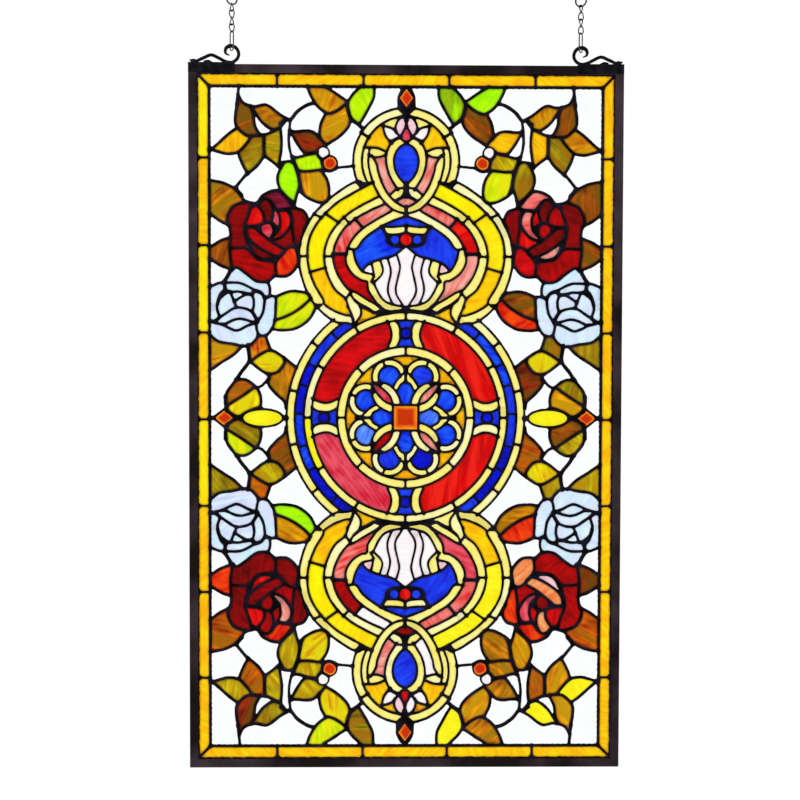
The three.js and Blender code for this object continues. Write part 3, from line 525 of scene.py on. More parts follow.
def cut_openings(field):
    """Jewels that sit in a solid pad of solder: the pad opens round each."""
    x, z = grid_places()
    openings = []
    diamonds = []
    for quarter in ("top_left", "bottom_left"):
        for dot_x, dot_z, radius in HEART_DOTS:
            centre = quarter_place(dot_x, dot_z, quarter)
            openings.append(radius - np.hypot(x - centre[0], z - centre[1]))
        diamonds.append((*quarter_place(*TOP_DIAMOND[:2], quarter), *TOP_DIAMOND[2:]))
    for side in (-1, 1):
        diamonds.append((side * SIDE_DIAMOND[0], *SIDE_DIAMOND[1:]))
        across, up, half_x, half_z = OVAL
        share = np.hypot((x - side * across) / half_x, (z - up) / half_z)
        openings.append((1 - share) * half_z)
    for across, up, half_x, half_z in diamonds:
        slope = math.hypot(1 / half_x, 1 / half_z)
        inside = 1 - np.abs(x - across) / half_x - np.abs(z - up) / half_z
        openings.append(inside / slope)
    openings.append(JEWEL_HALF - np.maximum(np.abs(x), np.abs(z - DESIGN_CENTRE)))
    for opening in openings:
        field = np.maximum(field, opening)
    return field


EDGE_WANDER = 0.07
LIP_WANDER = 0.14
SHORE_BURR = 0.45


def rough_edges(field):
    """Solder runs unevenly: a slow wander of its edges, stronger on the lip of the frame."""
    x, z = grid_places()
    wander = (np.sin(0.41 * x + 1.7 * np.sin(0.13 * z)) + np.sin(0.37 * z + 1.9 * np.sin(0.17 * x + 1))
              + 0.8 * np.sin(0.83 * x - 0.71 * z) + 0.6 * np.sin(1.13 * z + 0.91 * x + 2))
    lip = np.clip(np.maximum(np.abs(x) - (LIP_X - LIP_LINE), np.abs(z) - (LIP_Z - LIP_LINE)) / 2, 0, 1)
    from_border = np.maximum(np.abs(x) - BORDER_X, np.abs(z) - BORDER_Z)
    shore = np.clip(1 - np.abs(from_border + 2) / 2, 0, 1)
    burr = np.sin(1.9 * x + 1.3 * np.sin(0.7 * z)) * np.sin(1.7 * z + 1.1 * np.sin(0.9 * x))
    return field + wander * (EDGE_WANDER + LIP_WANDER * lip) + SHORE_BURR * burr * shore


# Corners of a grid cell, then its edges, as the polygons that each pattern of inside corners leaves
CELL_SHAPES = {
    1: [("a", "ab", "da")], 2: [("b", "bc", "ab")], 4: [("c", "cd", "bc")], 8: [("d", "da", "cd")],
    3: [("a", "b", "bc", "da")], 6: [("b", "c", "cd", "ab")], 12: [("c", "d", "da", "bc")],
    9: [("d", "a", "ab", "cd")], 5: [("a", "ab", "da"), ("c", "cd", "bc")],
    10: [("b", "bc", "ab"), ("d", "da", "cd")], 7: [("a", "b", "c", "cd", "da")],
    14: [("b", "c", "d", "da", "ab")], 13: [("c", "d", "a", "ab", "bc")], 11: [("d", "a", "b", "bc", "cd")],
    15: [("a", "b", "c", "d")],
}


def numbered_grid(inside, field, level):
    """Numbers for the inside corners and for the points where the outline crosses the grid's edges."""
    x, z = np.broadcast_arrays(*grid_places())
    inner = int(inside.sum())
    corner = np.full(inside.shape, -1)
    corner[inside] = np.arange(inner)
    places = [np.stack([x[inside], z[inside]], 1)]
    numbers = {}
    count = inner
    for name, first, second in (("across", np.s_[:-1, :], np.s_[1:, :]), ("up", np.s_[:, :-1], np.s_[:, 1:])):
        crossed = inside[first] != inside[second]
        share = (level - field[first]) / np.where(crossed, field[second] - field[first], 1)
        share = np.clip(share, LEAST_SHARE, 1 - LEAST_SHARE)
        here = np.full(crossed.shape, -1)
        here[crossed] = count + np.arange(crossed.sum())
        count += int(crossed.sum())
        place_x = x[first] + share * (x[second] - x[first])
        place_z = z[first] + share * (z[second] - z[first])
        places.append(np.stack([place_x[crossed], place_z[crossed]], 1))
        numbers[name] = here
    cells = {
        "a": corner[:-1, :-1], "b": corner[1:, :-1], "c": corner[1:, 1:], "d": corner[:-1, 1:],
        "ab": numbers["across"][:, :-1], "bc": numbers["up"][1:, :],
        "cd": numbers["across"][:, 1:], "da": numbers["up"][:-1, :],
    }
    pattern = inside[:-1, :-1] + 2 * inside[1:, :-1] + 4 * inside[1:, 1:] + 8 * inside[:-1, 1:]
    return np.vstack(places), cells, pattern, inner


def build_mesh(name, points, faces, slots=None):
    mesh = bpy.data.meshes.new(name)
    mesh.from_pydata(points, [], faces)
    if slots is not None:
        mesh.polygons.foreach_set("material_index", slots)
    mesh.update()
    return mesh


def add_piece(name, mesh, materials, node):
    piece = bpy.data.objects.new(name, mesh)
    bpy.context.scene.collection.objects.link(piece)
    for material in materials:
        mesh.materials.append(material)
    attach(piece, "root")
    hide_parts(node)
    return piece


def bead_rise(depth, x, z):
    """Height of the solder over the glass: round at its shoulders, with slow lumps along it."""
    share = np.clip(depth / BEAD_SHOULDER, 0, 1)
    lumps = np.sin(0.31 * x + 2 * np.sin(0.11 * z)) + np.sin(0.29 * z + 2 * np.sin(0.13 * x))
    ripple = np.sin(0.9 * x + 1.3 * z)
    return np.sqrt(1 - (1 - share) ** 2) * (BEAD_HEIGHT + BEAD_LUMPS * lumps + BEAD_RIPPLE * ripple)


def solder_pieces(field, material):
    """The raised solder, front and back, in one mesh for each quarter of the panel."""
    inside = field < 0
    places, cells, pattern, inner = numbered_grid(inside, field, 0.0)
    depth = np.zeros(len(places))
    depth[:inner] = -field[inside]
    rise = bead_rise(depth, places[:, 0], places[:, 1])
    sunk = GLASS_HALF - BEAD_SUNK
    front = np.stack([places[:, 0] * MM, -(sunk + rise) * MM, PANEL_CENTRE + places[:, 1] * MM], 1)
    middle_i, middle_j = STEPS // 2
    windows = {
        "top_left": np.s_[:middle_i, middle_j:], "top_right": np.s_[middle_i:, middle_j:],
        "bottom_left": np.s_[:middle_i, :middle_j], "bottom_right": np.s_[middle_i:, :middle_j],
    }
    for quarter, window in windows.items():
        faces = []
        for code, shapes in CELL_SHAPES.items():
            chosen = pattern[window] == code
            for shape in shapes:
                faces += np.stack([cells[key][window][chosen] for key in shape], 1).tolist()
        used = np.unique(np.concatenate([np.array(face) for face in faces]))
        renumber = np.zeros(len(places), int)
        renumber[used] = np.arange(len(used))
        near = front[used]
        far = near * [1, -1, 1]
        points = np.vstack([near, far]).tolist()
        shift = len(used)
        lookup = renumber.tolist()
        near_faces = [[lookup[k] for k in face] for face in faces]
        far_faces = [[k + shift for k in reversed(face)] for face in near_faces]
        mesh = build_mesh("solder_" + quarter, points, near_faces + far_faces)
        mesh.shade_smooth()
        add_piece("solder_" + quarter, mesh, [material], "came")


def glass_regions(field):
    """Numbers each closed region of glass by its grid points; nought is solder."""
    free = field > OPEN_CELL
    parent = [0]
    labels = np.zeros(free.shape, int)

    def root(k):
        while parent[k] != k:
            parent[k] = parent[parent[k]]
            k = parent[k]
        return k

    for i in range(free.shape[0]):
        column = free[i]
        edges = np.flatnonzero(np.diff(np.concatenate([[0], column.astype(int), [0]])))
        for start, end in zip(edges[::2], edges[1::2]):
            parent.append(len(parent))
            mine = len(parent) - 1
            if i > 0:
                for other in np.unique(labels[i - 1, start:end]):
                    if other:
                        parent[root(int(other))] = root(mine)
            labels[i, start:end] = mine
    roots = np.array([root(k) for k in range(len(parent))])
    return roots[labels]


def kept_apart(field):
    """Closes pinholes in the solder, and deepens it where two cuts of glass nearly meet."""
    labels = glass_regions(field)
    cells = np.bincount(labels.ravel())
    labels = np.where(cells[labels] < LEAST_CELLS, 0, labels)
    most = labels.copy()
    beyond = labels.max() + 1
    least = np.where(labels > 0, labels, beyond)
    for across, up in NEAR_CELLS:
        beside = np.roll(labels, (across, up), (0, 1))
        most = np.maximum(most, beside)
        least = np.minimum(least, np.where(beside > 0, beside, beyond))
    between = (labels == 0) & (least < most)
    pinhole = (labels == 0) & ((field > OPEN_CELL) | ((field > FAINT_CELL) & (most == 0)))
    return np.where(between | pinhole, np.minimum(field, THIN_SOLDER), field)


def outline_loops(field, level):
    """Closed outlines round the glass, each a list of x and z, with the glass on one side."""
    inside = field > level
    places, cells, pattern, _ = numbered_grid(inside, field, level)
    following = {}
    for code, shapes in CELL_SHAPES.items():
        chosen = pattern == code
        for shape in shapes:
            for start, end in zip(shape, shape[1:] + shape[:1]):
                if len(start) == 2 and len(end) == 2:
                    following.update(zip(cells[start][chosen].tolist(), cells[end][chosen].tolist()))
    loops = []
    while following:
        start, point = following.popitem()
        loop = [start]
        while point != start and point in following:
            loop.append(point)
            point = following.pop(point)
        loops.append(places[loop])
    return loops


def thinned(points, tolerance):
    """Drops the points of a closed outline that lie within the tolerance of its remaining sides."""
    count = len(points)
    if count < LEAST_POINTS:
        return points
    far = int(np.argmax(((points - points[0]) ** 2).sum(1)))
    keep = {0, far}
    ring = np.vstack([points, points[:1]])
    stack = [(0, far), (far, count)]
    while stack:
        first, last = stack.pop()
        if last - first < 2:
            continue
        way = ring[last] - ring[first]
        length = math.hypot(*way) or 1
        off = ring[first + 1:last] - ring[first]
        distance = np.abs(off[:, 0] * way[1] - off[:, 1] * way[0]) / length
        worst = int(np.argmax(distance))
        if distance[worst] > tolerance:
            middle = first + 1 + worst
            keep.add(middle)
            stack += [(first, middle), (middle, last)]
    return points[sorted(keep)]


# Glass by name: two colours that run through it in streaks, and for some a third in slow clouds,
# as they look against the light
GLASS = {
    "amber": ((255, 218, 6), (252, 178, 2)), "amber_yellow": ((255, 242, 10), (255, 216, 4)),
    "yellow": ((255, 250, 0), (255, 228, 0)),
    "bright_yellow": ((255, 250, 36), (250, 236, 10)), "gold": ((255, 210, 8), (240, 158, 0)),
    "cream": ((255, 248, 152), (253, 234, 108)), "pale_cream": ((255, 251, 196), (255, 246, 156)),
    "deep_blue": ((2, 8, 165), (4, 20, 235)), "cobalt": ((18, 34, 212), (30, 70, 250)),
    "mid_blue": ((28, 92, 255), (6, 30, 225)), "light_blue": ((110, 165, 255), (40, 90, 250)),
    "dark_red": ((92, 0, 0), (150, 0, 2)), "ruby": ((128, 0, 0), (190, 0, 2)),
    "crimson": ((222, 6, 12), (165, 0, 4)), "bright_red": ((228, 0, 2), (190, 2, 2), (240, 32, 18)),
    "pink_crimson": ((208, 20, 52), (238, 92, 108)), "orange_red": ((250, 74, 8), (205, 6, 0)),
    "salmon": ((232, 100, 96), (252, 180, 164)), "peach": ((238, 112, 50), (250, 172, 112)),
    "pink": ((240, 180, 194), (252, 218, 226)), "near_white": ((255, 253, 251), (250, 242, 246)),
    "rose_red": ((226, 40, 42), (248, 144, 134)), "heart_orange": ((255, 156, 14), (248, 108, 4)),
    "shell": ((255, 251, 251), (250, 232, 237)), "plum": ((158, 26, 66), (98, 6, 30)),
    "olive": ((178, 158, 8), (108, 92, 2), (160, 108, 4)),
    "olive_yellow": ((226, 204, 8), (142, 126, 2), (184, 140, 4)),
    "brown": ((188, 94, 2), (104, 40, 0), (120, 84, 2)),
    "brown_amber": ((236, 150, 4), (134, 68, 0), (160, 118, 4)),
    "mustard": ((250, 178, 6), (178, 94, 0), (198, 150, 4)),
    "lime": ((204, 252, 0), (172, 228, 0)),
    "yellow_green": ((228, 246, 8), (188, 216, 0), (236, 230, 10)),
    "bright_green": ((184, 255, 0), (150, 240, 0)),
    "green": ((176, 236, 4), (104, 160, 0), (150, 184, 4)),
    "orange_brown": ((232, 110, 2), (142, 46, 0), (162, 100, 2)),
    "red_brown": ((174, 46, 0), (86, 18, 0), (110, 66, 2)),
    "flame": ((255, 186, 8), (176, 0, 0)), "yellow_leaf": ((252, 240, 8), (208, 140, 4), (226, 212, 8)),
    "pale_blue": ((232, 247, 255), (198, 232, 252), (218, 228, 252)),
    "lavender": ((200, 214, 252), (230, 236, 255), (220, 244, 255)),
    "clear": ((253, 254, 254), (248, 251, 252)),
}

# A spot on each piece of the top left quarter, then its glass: one name for all four quarters, or one for
# each in QUARTERS' order
SEEDS = [
    (-188, 345, "brown", "brown", "red_brown", "mustard"),
    (-160, 352, "brown_amber", "mustard", "olive", "bright_yellow"),
    (-205, 323, "gold", "mustard", "olive_yellow", "bright_yellow"),
    (-178, 310, "olive", "olive", "orange_brown", "mustard"),
    (-156, 320, "olive_yellow", "gold", "olive_yellow", "orange_brown"),
    (-93, 375, "mustard", "bright_green", "yellow_green", "brown_amber"),
    (-53, 365, "lime", "green", "olive", "bright_yellow"),
    (-84, 343, "mustard", "brown", "yellow_leaf", "mustard"),
    (-118, 324, "red_brown", "gold", "olive_yellow", "brown_amber"),
    (-115, 300, "lime", "olive_yellow", "olive_yellow", "brown_amber"),
    (-138, 280, "bright_green", "olive", "olive_yellow", "mustard"),
    (-108, 272, "mustard", "yellow_green", "yellow_leaf", "brown_amber"),
    (-215, 258, "brown_amber", "brown", "orange_brown", "orange_brown"),
    (-218, 195, "brown", "brown", "orange_red", "red_brown"),
    (-135, 135, "yellow_green", "brown", "mustard", "orange_red"),
    (-130, 115, "yellow_green", "orange_red", "bright_green", "brown_amber"),
    (-205, 82, "mustard", "olive", "olive", "olive_yellow"),
    (-172, 85, "flame", "olive", "orange_brown", "olive_yellow"),
    (-160, 66, "yellow_leaf", "yellow_leaf", "olive_yellow", "yellow_leaf"),
    (-150, 42, "brown_amber", "red_brown", "brown", "orange_brown"),
    (-190, 39, "orange_brown", "olive", "yellow_green", "olive_yellow"),
    (-184, 20, "yellow_leaf", "mustard", "olive", "brown"),
    (-97, 311.3, "near_white"),
    (-89.3, 299, "heart_orange"),
    # Red rose
    (-197, 230, "ruby", "crimson", "ruby", "ruby"),
    (-196, 208, "dark_red", "dark_red", "dark_red", "ruby"),
    (-185, 186, "ruby", "ruby", "dark_red", "ruby"),
    (-143, 255, "plum", "rose_red", "orange_red", "orange_red"),
    (-163, 245, "dark_red", "dark_red", "ruby", "peach"),
    (-176, 238, "bright_red", "ruby", "bright_red", "crimson"),
    (-152, 233, "pink_crimson", "crimson", "ruby", "crimson"),
    (-141, 230, "bright_red", "rose_red", "salmon", "pink_crimson"),
    (-124, 228, "dark_red", "dark_red", "dark_red", "orange_red"),
    (-163, 221, "pink_crimson", "crimson", "ruby", "dark_red"),
    (-165, 205, "ruby", "dark_red", "dark_red", "peach"),
    (-141, 210, "dark_red", "bright_red", "ruby", "ruby"),
    (-166, 191, "dark_red", "salmon", "bright_red", "pink"),
    (-137, 184, "orange_red", "crimson", "dark_red", "peach"),
    # Blue rose
    (-190, 167, "pale_blue"),
    (-225, 138, "lavender", "lavender", "pale_blue", "lavender"),
    (-195, 154, "pale_blue", "lavender", "pale_blue", "lavender"),
    (-210, 140, "lavender", "lavender", "lavender", "pale_blue"),
    (-189, 137, "pale_blue", "pale_blue", "lavender", "pale_blue"),
    (-172, 132, "lavender", "lavender", "lavender", "pale_blue"),
    (-159, 125, "pale_blue"),
    (-198, 122, "lavender"),
    (-197, 110, "pale_blue"),
    (-200, 96, "lavender", "pale_blue", "lavender", "pale_blue"),
    # Lobe
    (-71, 247, "amber_yellow", "yellow", "amber_yellow", "bright_yellow"),
    (-104, 200, "yellow", "amber_yellow", "yellow", "bright_yellow"),
    (-94, 155, "amber"),
    (-38, 240.5, "salmon", "rose_red", "near_white", "rose_red"),
    (-70, 212, "rose_red", "bright_red", "ruby", "rose_red"),
    (-76, 178, "crimson", "salmon", "rose_red", "pink_crimson"),
    (-47, 124.5, "gold", "gold", "gold", "cream"),
    (-60, 129, "pale_cream", "cream", "pale_cream", "pale_cream"),
    # Heart
    (-40, 200, "mid_blue", "cobalt", "cobalt", "cobalt"),
    (0, 231, "cobalt"),
    (0, 210.4, "bright_red"),
    (-13, 210.4, "cobalt"),
    (-43.5, 175.5, "near_white", "pink", "pink", "pink"),
    (-33, 174, "cream"),
    (0, 165, "near_white"),
    (-14, 168, "shell"),
    (-23.5, 175, "near_white"),
    # Finial
    (-35, 328, "amber"),
    (-17, 346, "cream", "cream", "gold", "gold"),
    (-18, 333, "near_white"),
    (-6, 345, "pink", "pink", "pink", "near_white"),
    (0, 332, "pink_crimson", "pink_crimson", "crimson", "crimson"),
    (0, 300, "cobalt"),
    (-28, 290, "salmon", "salmon", "salmon", "near_white"),
    (0, 254.5, "salmon", "salmon", "ruby", "ruby"),
    (0, 374.5, "heart_orange"),
]
PETALS = ("mid_blue", "cobalt", "mid_blue", "mid_blue", "light_blue", "cobalt", "deep_blue", "mid_blue")
INNER_PETALS = ("light_blue", "mid_blue", "mid_blue", "mid_blue")
LENSES = ("salmon", "pink_crimson", "ruby", "salmon")
SECTORS = ("bright_red", "crimson", "pink_crimson", "bright_red")
CREAM_CHOICES = ("cream", "cream", "cream", "pale_cream")
BORDER_CHOICES = ("amber", "amber", "amber_yellow")
BLUE_CHOICES = ("cobalt", "cobalt", "mid_blue", "deep_blue")

# The medallion's glass: how far out its pieces lie, the angle of the first, and the glass of each in turn
MEDALLION_GLASS = [
    (PETAL_CENTRE, PETAL_ANGLES[0], PETALS), (66, 0, ("gold",) * 8), (29, 0, INNER_PETALS), (33, 45, LENSES),
    (95, 45, SECTORS), (HUB_DOT[0], 0, ("deep_blue",) * 4), (106, 0, ("cobalt",) * 4),
    (86, 0, ("cobalt",) * 4),
]
BRIGHT_ARC = (115.2, 195)

# Where a piece with no spot belongs to the blue bands at the medallion's sides
SIDE_BAND = (119.7, 131)
SIDE_BAND_FROM = 60


def seeded_glass():
    """Spots on the glass with the name of what is there, for the seeds and for the turned medallion."""
    spots = []
    for x, z, *names in SEEDS:
        for quarter, name in zip(QUARTERS, names if len(names) > 1 else names * len(QUARTERS)):
            spots.append((*quarter_place(x, z, quarter), name))
    for radius, first, names in MEDALLION_GLASS:
        for k, name in enumerate(names):
            spots.append((*medallion_point(radius, first + 360 / len(names) * k), name))
    spots.append((0, DESIGN_CENTRE, "heart_orange"))
    spots.append((*medallion_point(*BRIGHT_ARC), "bright_yellow"))
    for side in (-1, 1):
        spots.append((side * OVAL[0], OVAL[1], "bright_yellow"))
        spots.append((side * SIDE_DIAMOND[0], SIDE_DIAMOND[1], "heart_orange"))
    return spots


def usual_glass(node, x, z, dice):
    """The glass of a piece that has no spot of its own, by the field it lies in."""
    if node.startswith("field"):
        return "clear"
    if node.startswith("border"):
        return dice.choice(BORDER_CHOICES)
    radius = math.hypot(x, (z - DESIGN_CENTRE) / TALLNESS)
    in_side_band = SIDE_BAND[0] < radius < SIDE_BAND[1] and abs(x) > SIDE_BAND_FROM
    if node.startswith("blue_arc") or in_side_band:
        return dice.choice(BLUE_CHOICES)
    if node.startswith("blue_rose"):
        return "pale_blue"
    if node.startswith("red_rose"):
        return "ruby"
    return dice.choice(CREAM_CHOICES)


def linear(colour):
    """The shader's values of a colour given as it looks on a screen, from 0 to 255."""
    return [((c / 255 + 0.055) / 1.055) ** 2.4 if c > 10 else c / 255 / 12.92 for c in colour] + [1]


def node_maker(material):
    """Clears the material and gives a short way to add shader nodes and link them."""
    material.use_nodes = True
    tree = material.node_tree
    tree.nodes.clear()

    def add(kind, inputs=None, **settings):
        node = tree.nodes.new(kind)
        for key, value in settings.items():
            setattr(node, key, value)
        for key, value in (inputs or {}).items():
            socket = node.inputs[key]
            if isinstance(value, bpy.types.NodeSocket):
                tree.links.new(value, socket)
            else:
                socket.default_value = value
        return node

    return add


def noise(add, place, scale, detail):
    return add("ShaderNodeTexNoise", {"Vector": place, "Scale": scale, "Detail": detail}).outputs[0]


def ranged(add, value, low, high, start=0, end=1):
    return add("ShaderNodeMapRange", {"Value": value, "From Min": low, "From Max": high,
                                      "To Min": start, "To Max": end}).outputs[0]


def mixed(add, share, first, second):
    return add("ShaderNodeMix", {"Factor": share, 6: first, 7: second}, data_type="RGBA").outputs[2]


def add_surface(add, colour, roughness, height, strength, distance, **more):
    """The material's shader, with a bump of the height's pattern and what else its sockets are given."""
    bump = add("ShaderNodeBump", {"Height": height, "Strength": strength, "Distance": distance})
    surface = add("ShaderNodeBsdfPrincipled", {
        "Base Color": colour, "Roughness": roughness, "Normal": bump.outputs[0], **more})
    add("ShaderNodeOutputMaterial", {"Surface": surface.outputs[0]})


GLASS_SHEEN = (130, 130, 130)
STREAK_SCALE = (34, 230, 1)
PALE_GLASS = ("cream", "pale_cream", "bright_yellow", "near_white", "shell", "pink", "pale_blue", "lavender")
# Painted shade at the rim of each pane: how strongly it darkens pale and deep glass, and the share of the
# deep colour it darkens to
PALE_RIM_SHADE = 0.28
DEEP_RIM_SHADE = 0.8
RIM_SHADE = 0.3
HEART = (196, 16, 0)
METAL_SHARE = 0.9


def glass_material(name):
    """Rolled art glass: its colours in streaks along the grain, painted shade that darkens it towards the
    rim, and a faint bump.
    """
    bright, deep, *third = GLASS[name]
    clear = name == "clear"
    material = bpy.data.materials.new("glass_" + name)
    add = node_maker(material)
    grain = add("ShaderNodeAttribute", attribute_name="grain").outputs["Vector"]
    rim = add("ShaderNodeAttribute", attribute_name="rim").outputs["Fac"]
    along = add("ShaderNodeVectorMath", {0: grain, 1: STREAK_SCALE}, operation="MULTIPLY").outputs[0]
    both = add("ShaderNodeMath", {0: noise(add, along, 1, 3), 1: noise(add, grain, 40, 2)}, operation="ADD")
    colour = mixed(add, ranged(add, both.outputs[0], 0.78, 1.22), linear(bright), linear(deep))
    if third:
        patch = ranged(add, noise(add, along, 0.45, 2), 0.44, 0.6)
        colour = mixed(add, patch, colour, linear(third[0]))
    if name == "heart_orange":
        colour = mixed(add, ranged(add, rim, 0.15, 0.6, 0.9, 0), colour, linear(HEART))
    elif not clear:
        # Painted shade: the colour darkens towards each pane's rim, next to the solder
        depth = PALE_RIM_SHADE if name in PALE_GLASS else DEEP_RIM_SHADE
        shade = [channel * RIM_SHADE for channel in linear(deep)[:3]] + [1]
        colour = mixed(add, ranged(add, rim, 0.1, 1, 0, depth), colour, shade)
    ripple = noise(add, grain, 260 if clear else 90, 2)
    more = {"IOR": 1.5, "Transmission Weight": 1.0, "Specular Tint": linear(GLASS_SHEEN)}
    add_surface(add, colour, 0.06 if clear else 0.24, ripple, 0.35 if clear else 0.2, 0.0006, **more)
    return material


def metal_material(name, dark, pale, roughness, scale):
    """Patinated metal: two tones in cloudy patches and a fine uneven surface."""
    material = bpy.data.materials.new(name)
    add = node_maker(material)
    place = add("ShaderNodeTexCoord").outputs["Object"]
    share = ranged(add, noise(add, place, scale, 5), 0.4, 0.68)
    colour = mixed(add, share, linear(dark), linear(pale))
    fine = noise(add, place, scale * 6, 3)
    add_surface(add, colour, roughness, fine, 0.3, 0.0004, Metallic=METAL_SHARE)
    return material


def glass_finder():
    """Tells which glass node of the frame lies at a place, or the nearest one to it."""
    vertices = []
    triangles = []
    owners = []
    solid_metal = ("frame_", "scroll_", "chain_", "came")
    for name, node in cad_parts.items():
        if name.startswith(solid_metal):
            continue
        start = len(vertices)
        vertices += [v.co.copy() for v in node.data.vertices]
        for face in node.data.polygons:
            triangles.append([start + k for k in face.vertices])
            owners.append(name)
    tree = BVHTree.FromPolygons(vertices, triangles)

    def find(places):
        votes = {}
        for x, z in places:
            start = Vector((x * MM, -1, PANEL_CENTRE + z * MM))
            index = tree.ray_cast(start, Vector((0, 1, 0)))[2]
            if index is not None:
                votes[owners[index]] = votes.get(owners[index], 0) + 1
        if votes:
            return max(votes, key=votes.get)
        x, z = places[0]
        return owners[tree.find_nearest(Vector((x * MM, 0, PANEL_CENTRE + z * MM)))[2]]

    return find


# A crown on a jewel, as rings that shrink to its middle: each ring's share of the size, and its rise in mm.
# Cuts of glass that are less across than JEWEL_ACROSS and cover fewer grid points than JEWEL_CELLS carry one
CROWNS = {
    "round": [(1, 0), (0.9, 0.4), (0.7, 0.8), (0.45, 1.1), (0.2, 1.25)],
    "bevel": [(1, 0), (0.85, 0.5), (0.55, 0.9), (0.25, 1.1)],
}
# Power on each crown ring's share that gives its rim value: the painted rim shade, and on heart_orange the
# heart's colour
CROWN_RIM_POWER = 4
JEWEL_ACROSS = 21
JEWEL_CELLS = 150


def wall(below, above, count):
    """Quads between two rings of vertices, by the number of each ring's first vertex."""
    return [[below + k, below + (k + 1) % count, above + (k + 1) % count, above + k] for k in range(count)]


def signed_area(loop):
    way = np.roll(loop, -1, axis=0)
    return float((loop[:, 0] * way[:, 1] - way[:, 0] * loop[:, 1]).sum() / 2)


def loop_area(loop):
    return abs(signed_area(loop))


def crowned_shape(outline, rings):
    """A jewel with a flat back: vertices, faces, which faces are edge, and the rim share of each vertex."""
    layers = [(share, GLASS_HALF) for share, _ in reversed(rings)]
    layers += [(share, -GLASS_HALF - rise) for share, rise in rings]
    centre = outline.mean(axis=0)
    points = []
    rim = []
    for share, y in layers:
        points += [(px, y, pz) for px, pz in centre + share * (outline - centre)]
        rim += [share ** CROWN_RIM_POWER] * len(outline)
    count = len(outline)
    cover = plain_cover([outline])
    last = count * (len(layers) - 1)
    faces = [face[::-1] for face in cover] + [[last + k for k in face] for face in cover]
    is_edge = [False] * len(faces)
    for layer in range(len(layers) - 1):
        faces += wall(count * layer, count * (layer + 1), count)
        is_edge += [layer == len(rings) - 1] * count
    return points, faces, is_edge, rim


def plain_cover(loops):
    """Triangles inside an outline and outside its holes, counter-clockwise from the front."""
    places = np.vstack(loops)
    cover = []
    for face in tessellate_polygon([[Vector((x, z, 0)) for x, z in loop] for loop in loops]):
        cover.append(list(face) if signed_area(places[list(face)]) > 0 else list(reversed(face)))
    return cover


def inside_outline(outline, places):
    """Which places lie inside an outline: those with an odd number of its sides to their right."""
    x, z = places[:, :1], places[:, 1:]
    (x0, z0), (x1, z1) = outline.T, np.roll(outline, -1, axis=0).T
    rise = np.where(z1 == z0, 1, z1 - z0)
    crossed = ((z0 > z) != (z1 > z)) & (x0 + (z - z0) / rise * (x1 - x0) > x)
    return crossed.sum(1) % 2 == 1


def split_cover(loops):
    """Triangles inside the first loop, with the other loops kept as edges between them."""
    places = np.vstack(loops)
    sides = []
    start = 0
    for loop in loops:
        sides += [(start + k, start + (k + 1) % len(loop)) for k in range(len(loop))]
        start += len(loop)
    _, _, hull, sources, _, _ = delaunay_2d_cdt([Vector(p) for p in places], sides, [], 0, SAME_PLACE, True)
    if not all(sources):
        return []
    cover = np.array([[sources[k][0] for k in face] for face in hull])
    return cover[inside_outline(loops[0], places[cover].mean(axis=1))].tolist()


def flat_shape(outlines, cores):
    """A flat cut of glass: its faces are split along the cores, so that painted shade can darken its colour
    towards the rim.
    """
    loops = outlines + cores
    cover = split_cover(loops) if cores and len(outlines) == 1 else []
    if not cover:
        loops = outlines
        cover = plain_cover(outlines)
    outer_count = sum(len(loop) for loop in outlines)
    total = sum(len(loop) for loop in loops)
    points = []
    for depth in (GLASS_HALF, -GLASS_HALF):
        points += [(x, depth, z) for loop in loops for x, z in loop]
    # Rim value of each vertex, which places the painted shade: full at the outline, none at the cores
    rim = ([1.0 if total > outer_count else THIN_RIM_SHADE] * outer_count + [0.0] * (total - outer_count)) * 2
    faces = [face[::-1] for face in cover] + [[total + k for k in face] for face in cover]
    is_edge = [False] * len(faces)
    start = 0
    for loop in outlines:
        faces += wall(start, total + start, len(loop))
        is_edge += [True] * len(loop)
        start += len(loop)
    return points, faces, is_edge, rim


def loops_by_region(field, labels, level, least_area):
    """Outlines at a level of the field, gathered by the region of glass that they belong to."""
    regions = {}
    for loop in outline_loops(field, level):
        area = loop_area(loop)
        if area < least_area:
            continue
        cells = np.round((loop + HALF_SPAN) / GRID).astype(int)
        around = np.concatenate([labels[i - 1:i + 2, j - 1:j + 2].ravel() for i, j in cells])
        found = around[around > 0]
        if len(found):
            regions.setdefault(int(np.bincount(found).argmax()), []).append((area, loop))
    for label, loops in regions.items():
        loops.sort(key=lambda pair: -pair[0])
        turned = -1 if signed_area(loops[0][1]) < 0 else 1
        regions[label] = [thinned(loop, OUTLINE_SLACK)[::turned] for _, loop in loops]
    return regions


def named_regions(labels):
    """The glass of each region that a spot lies in, or else near."""
    names = {}
    for x, z, name in seeded_glass():
        i, j = np.rint(([x, z] + HALF_SPAN) / GRID).astype(int)
        near = labels[i - 2:i + 3, j - 2:j + 3]
        found = near[near > 0]
        if len(found):
            names[int(labels[i, j] or np.bincount(found).argmax())] = name
    return names


VOTES = 9
GRAIN_SHIFT = 9
DISC_FILL = (0.72, 0.82)
DISC_ASPECT = (0.85, 1.18)


def round_enough(outline):
    """True for an outline that is about as wide as tall and fills its box as a disc does."""
    width, height = outline.max(0) - outline.min(0)
    fill = loop_area(outline) / (width * height)
    return DISC_FILL[0] < fill < DISC_FILL[1] and DISC_ASPECT[0] < width / height < DISC_ASPECT[1]


def crown_for(node, name, outline, cells):
    """The crown on a cut of glass: a bevel on square and diamond jewels, a dome on small discs and ovals."""
    if name == "heart_orange" and not round_enough(outline):
        return CROWNS["bevel"]
    if node.startswith("oval"):
        return CROWNS["round"]
    size = math.dist(outline.min(0), outline.max(0)) / JEWEL_ACROSS
    if size < 1 and len(cells) < JEWEL_CELLS and round_enough(outline):
        return [(share, rise * size) for share, rise in CROWNS["round"]]
    return None


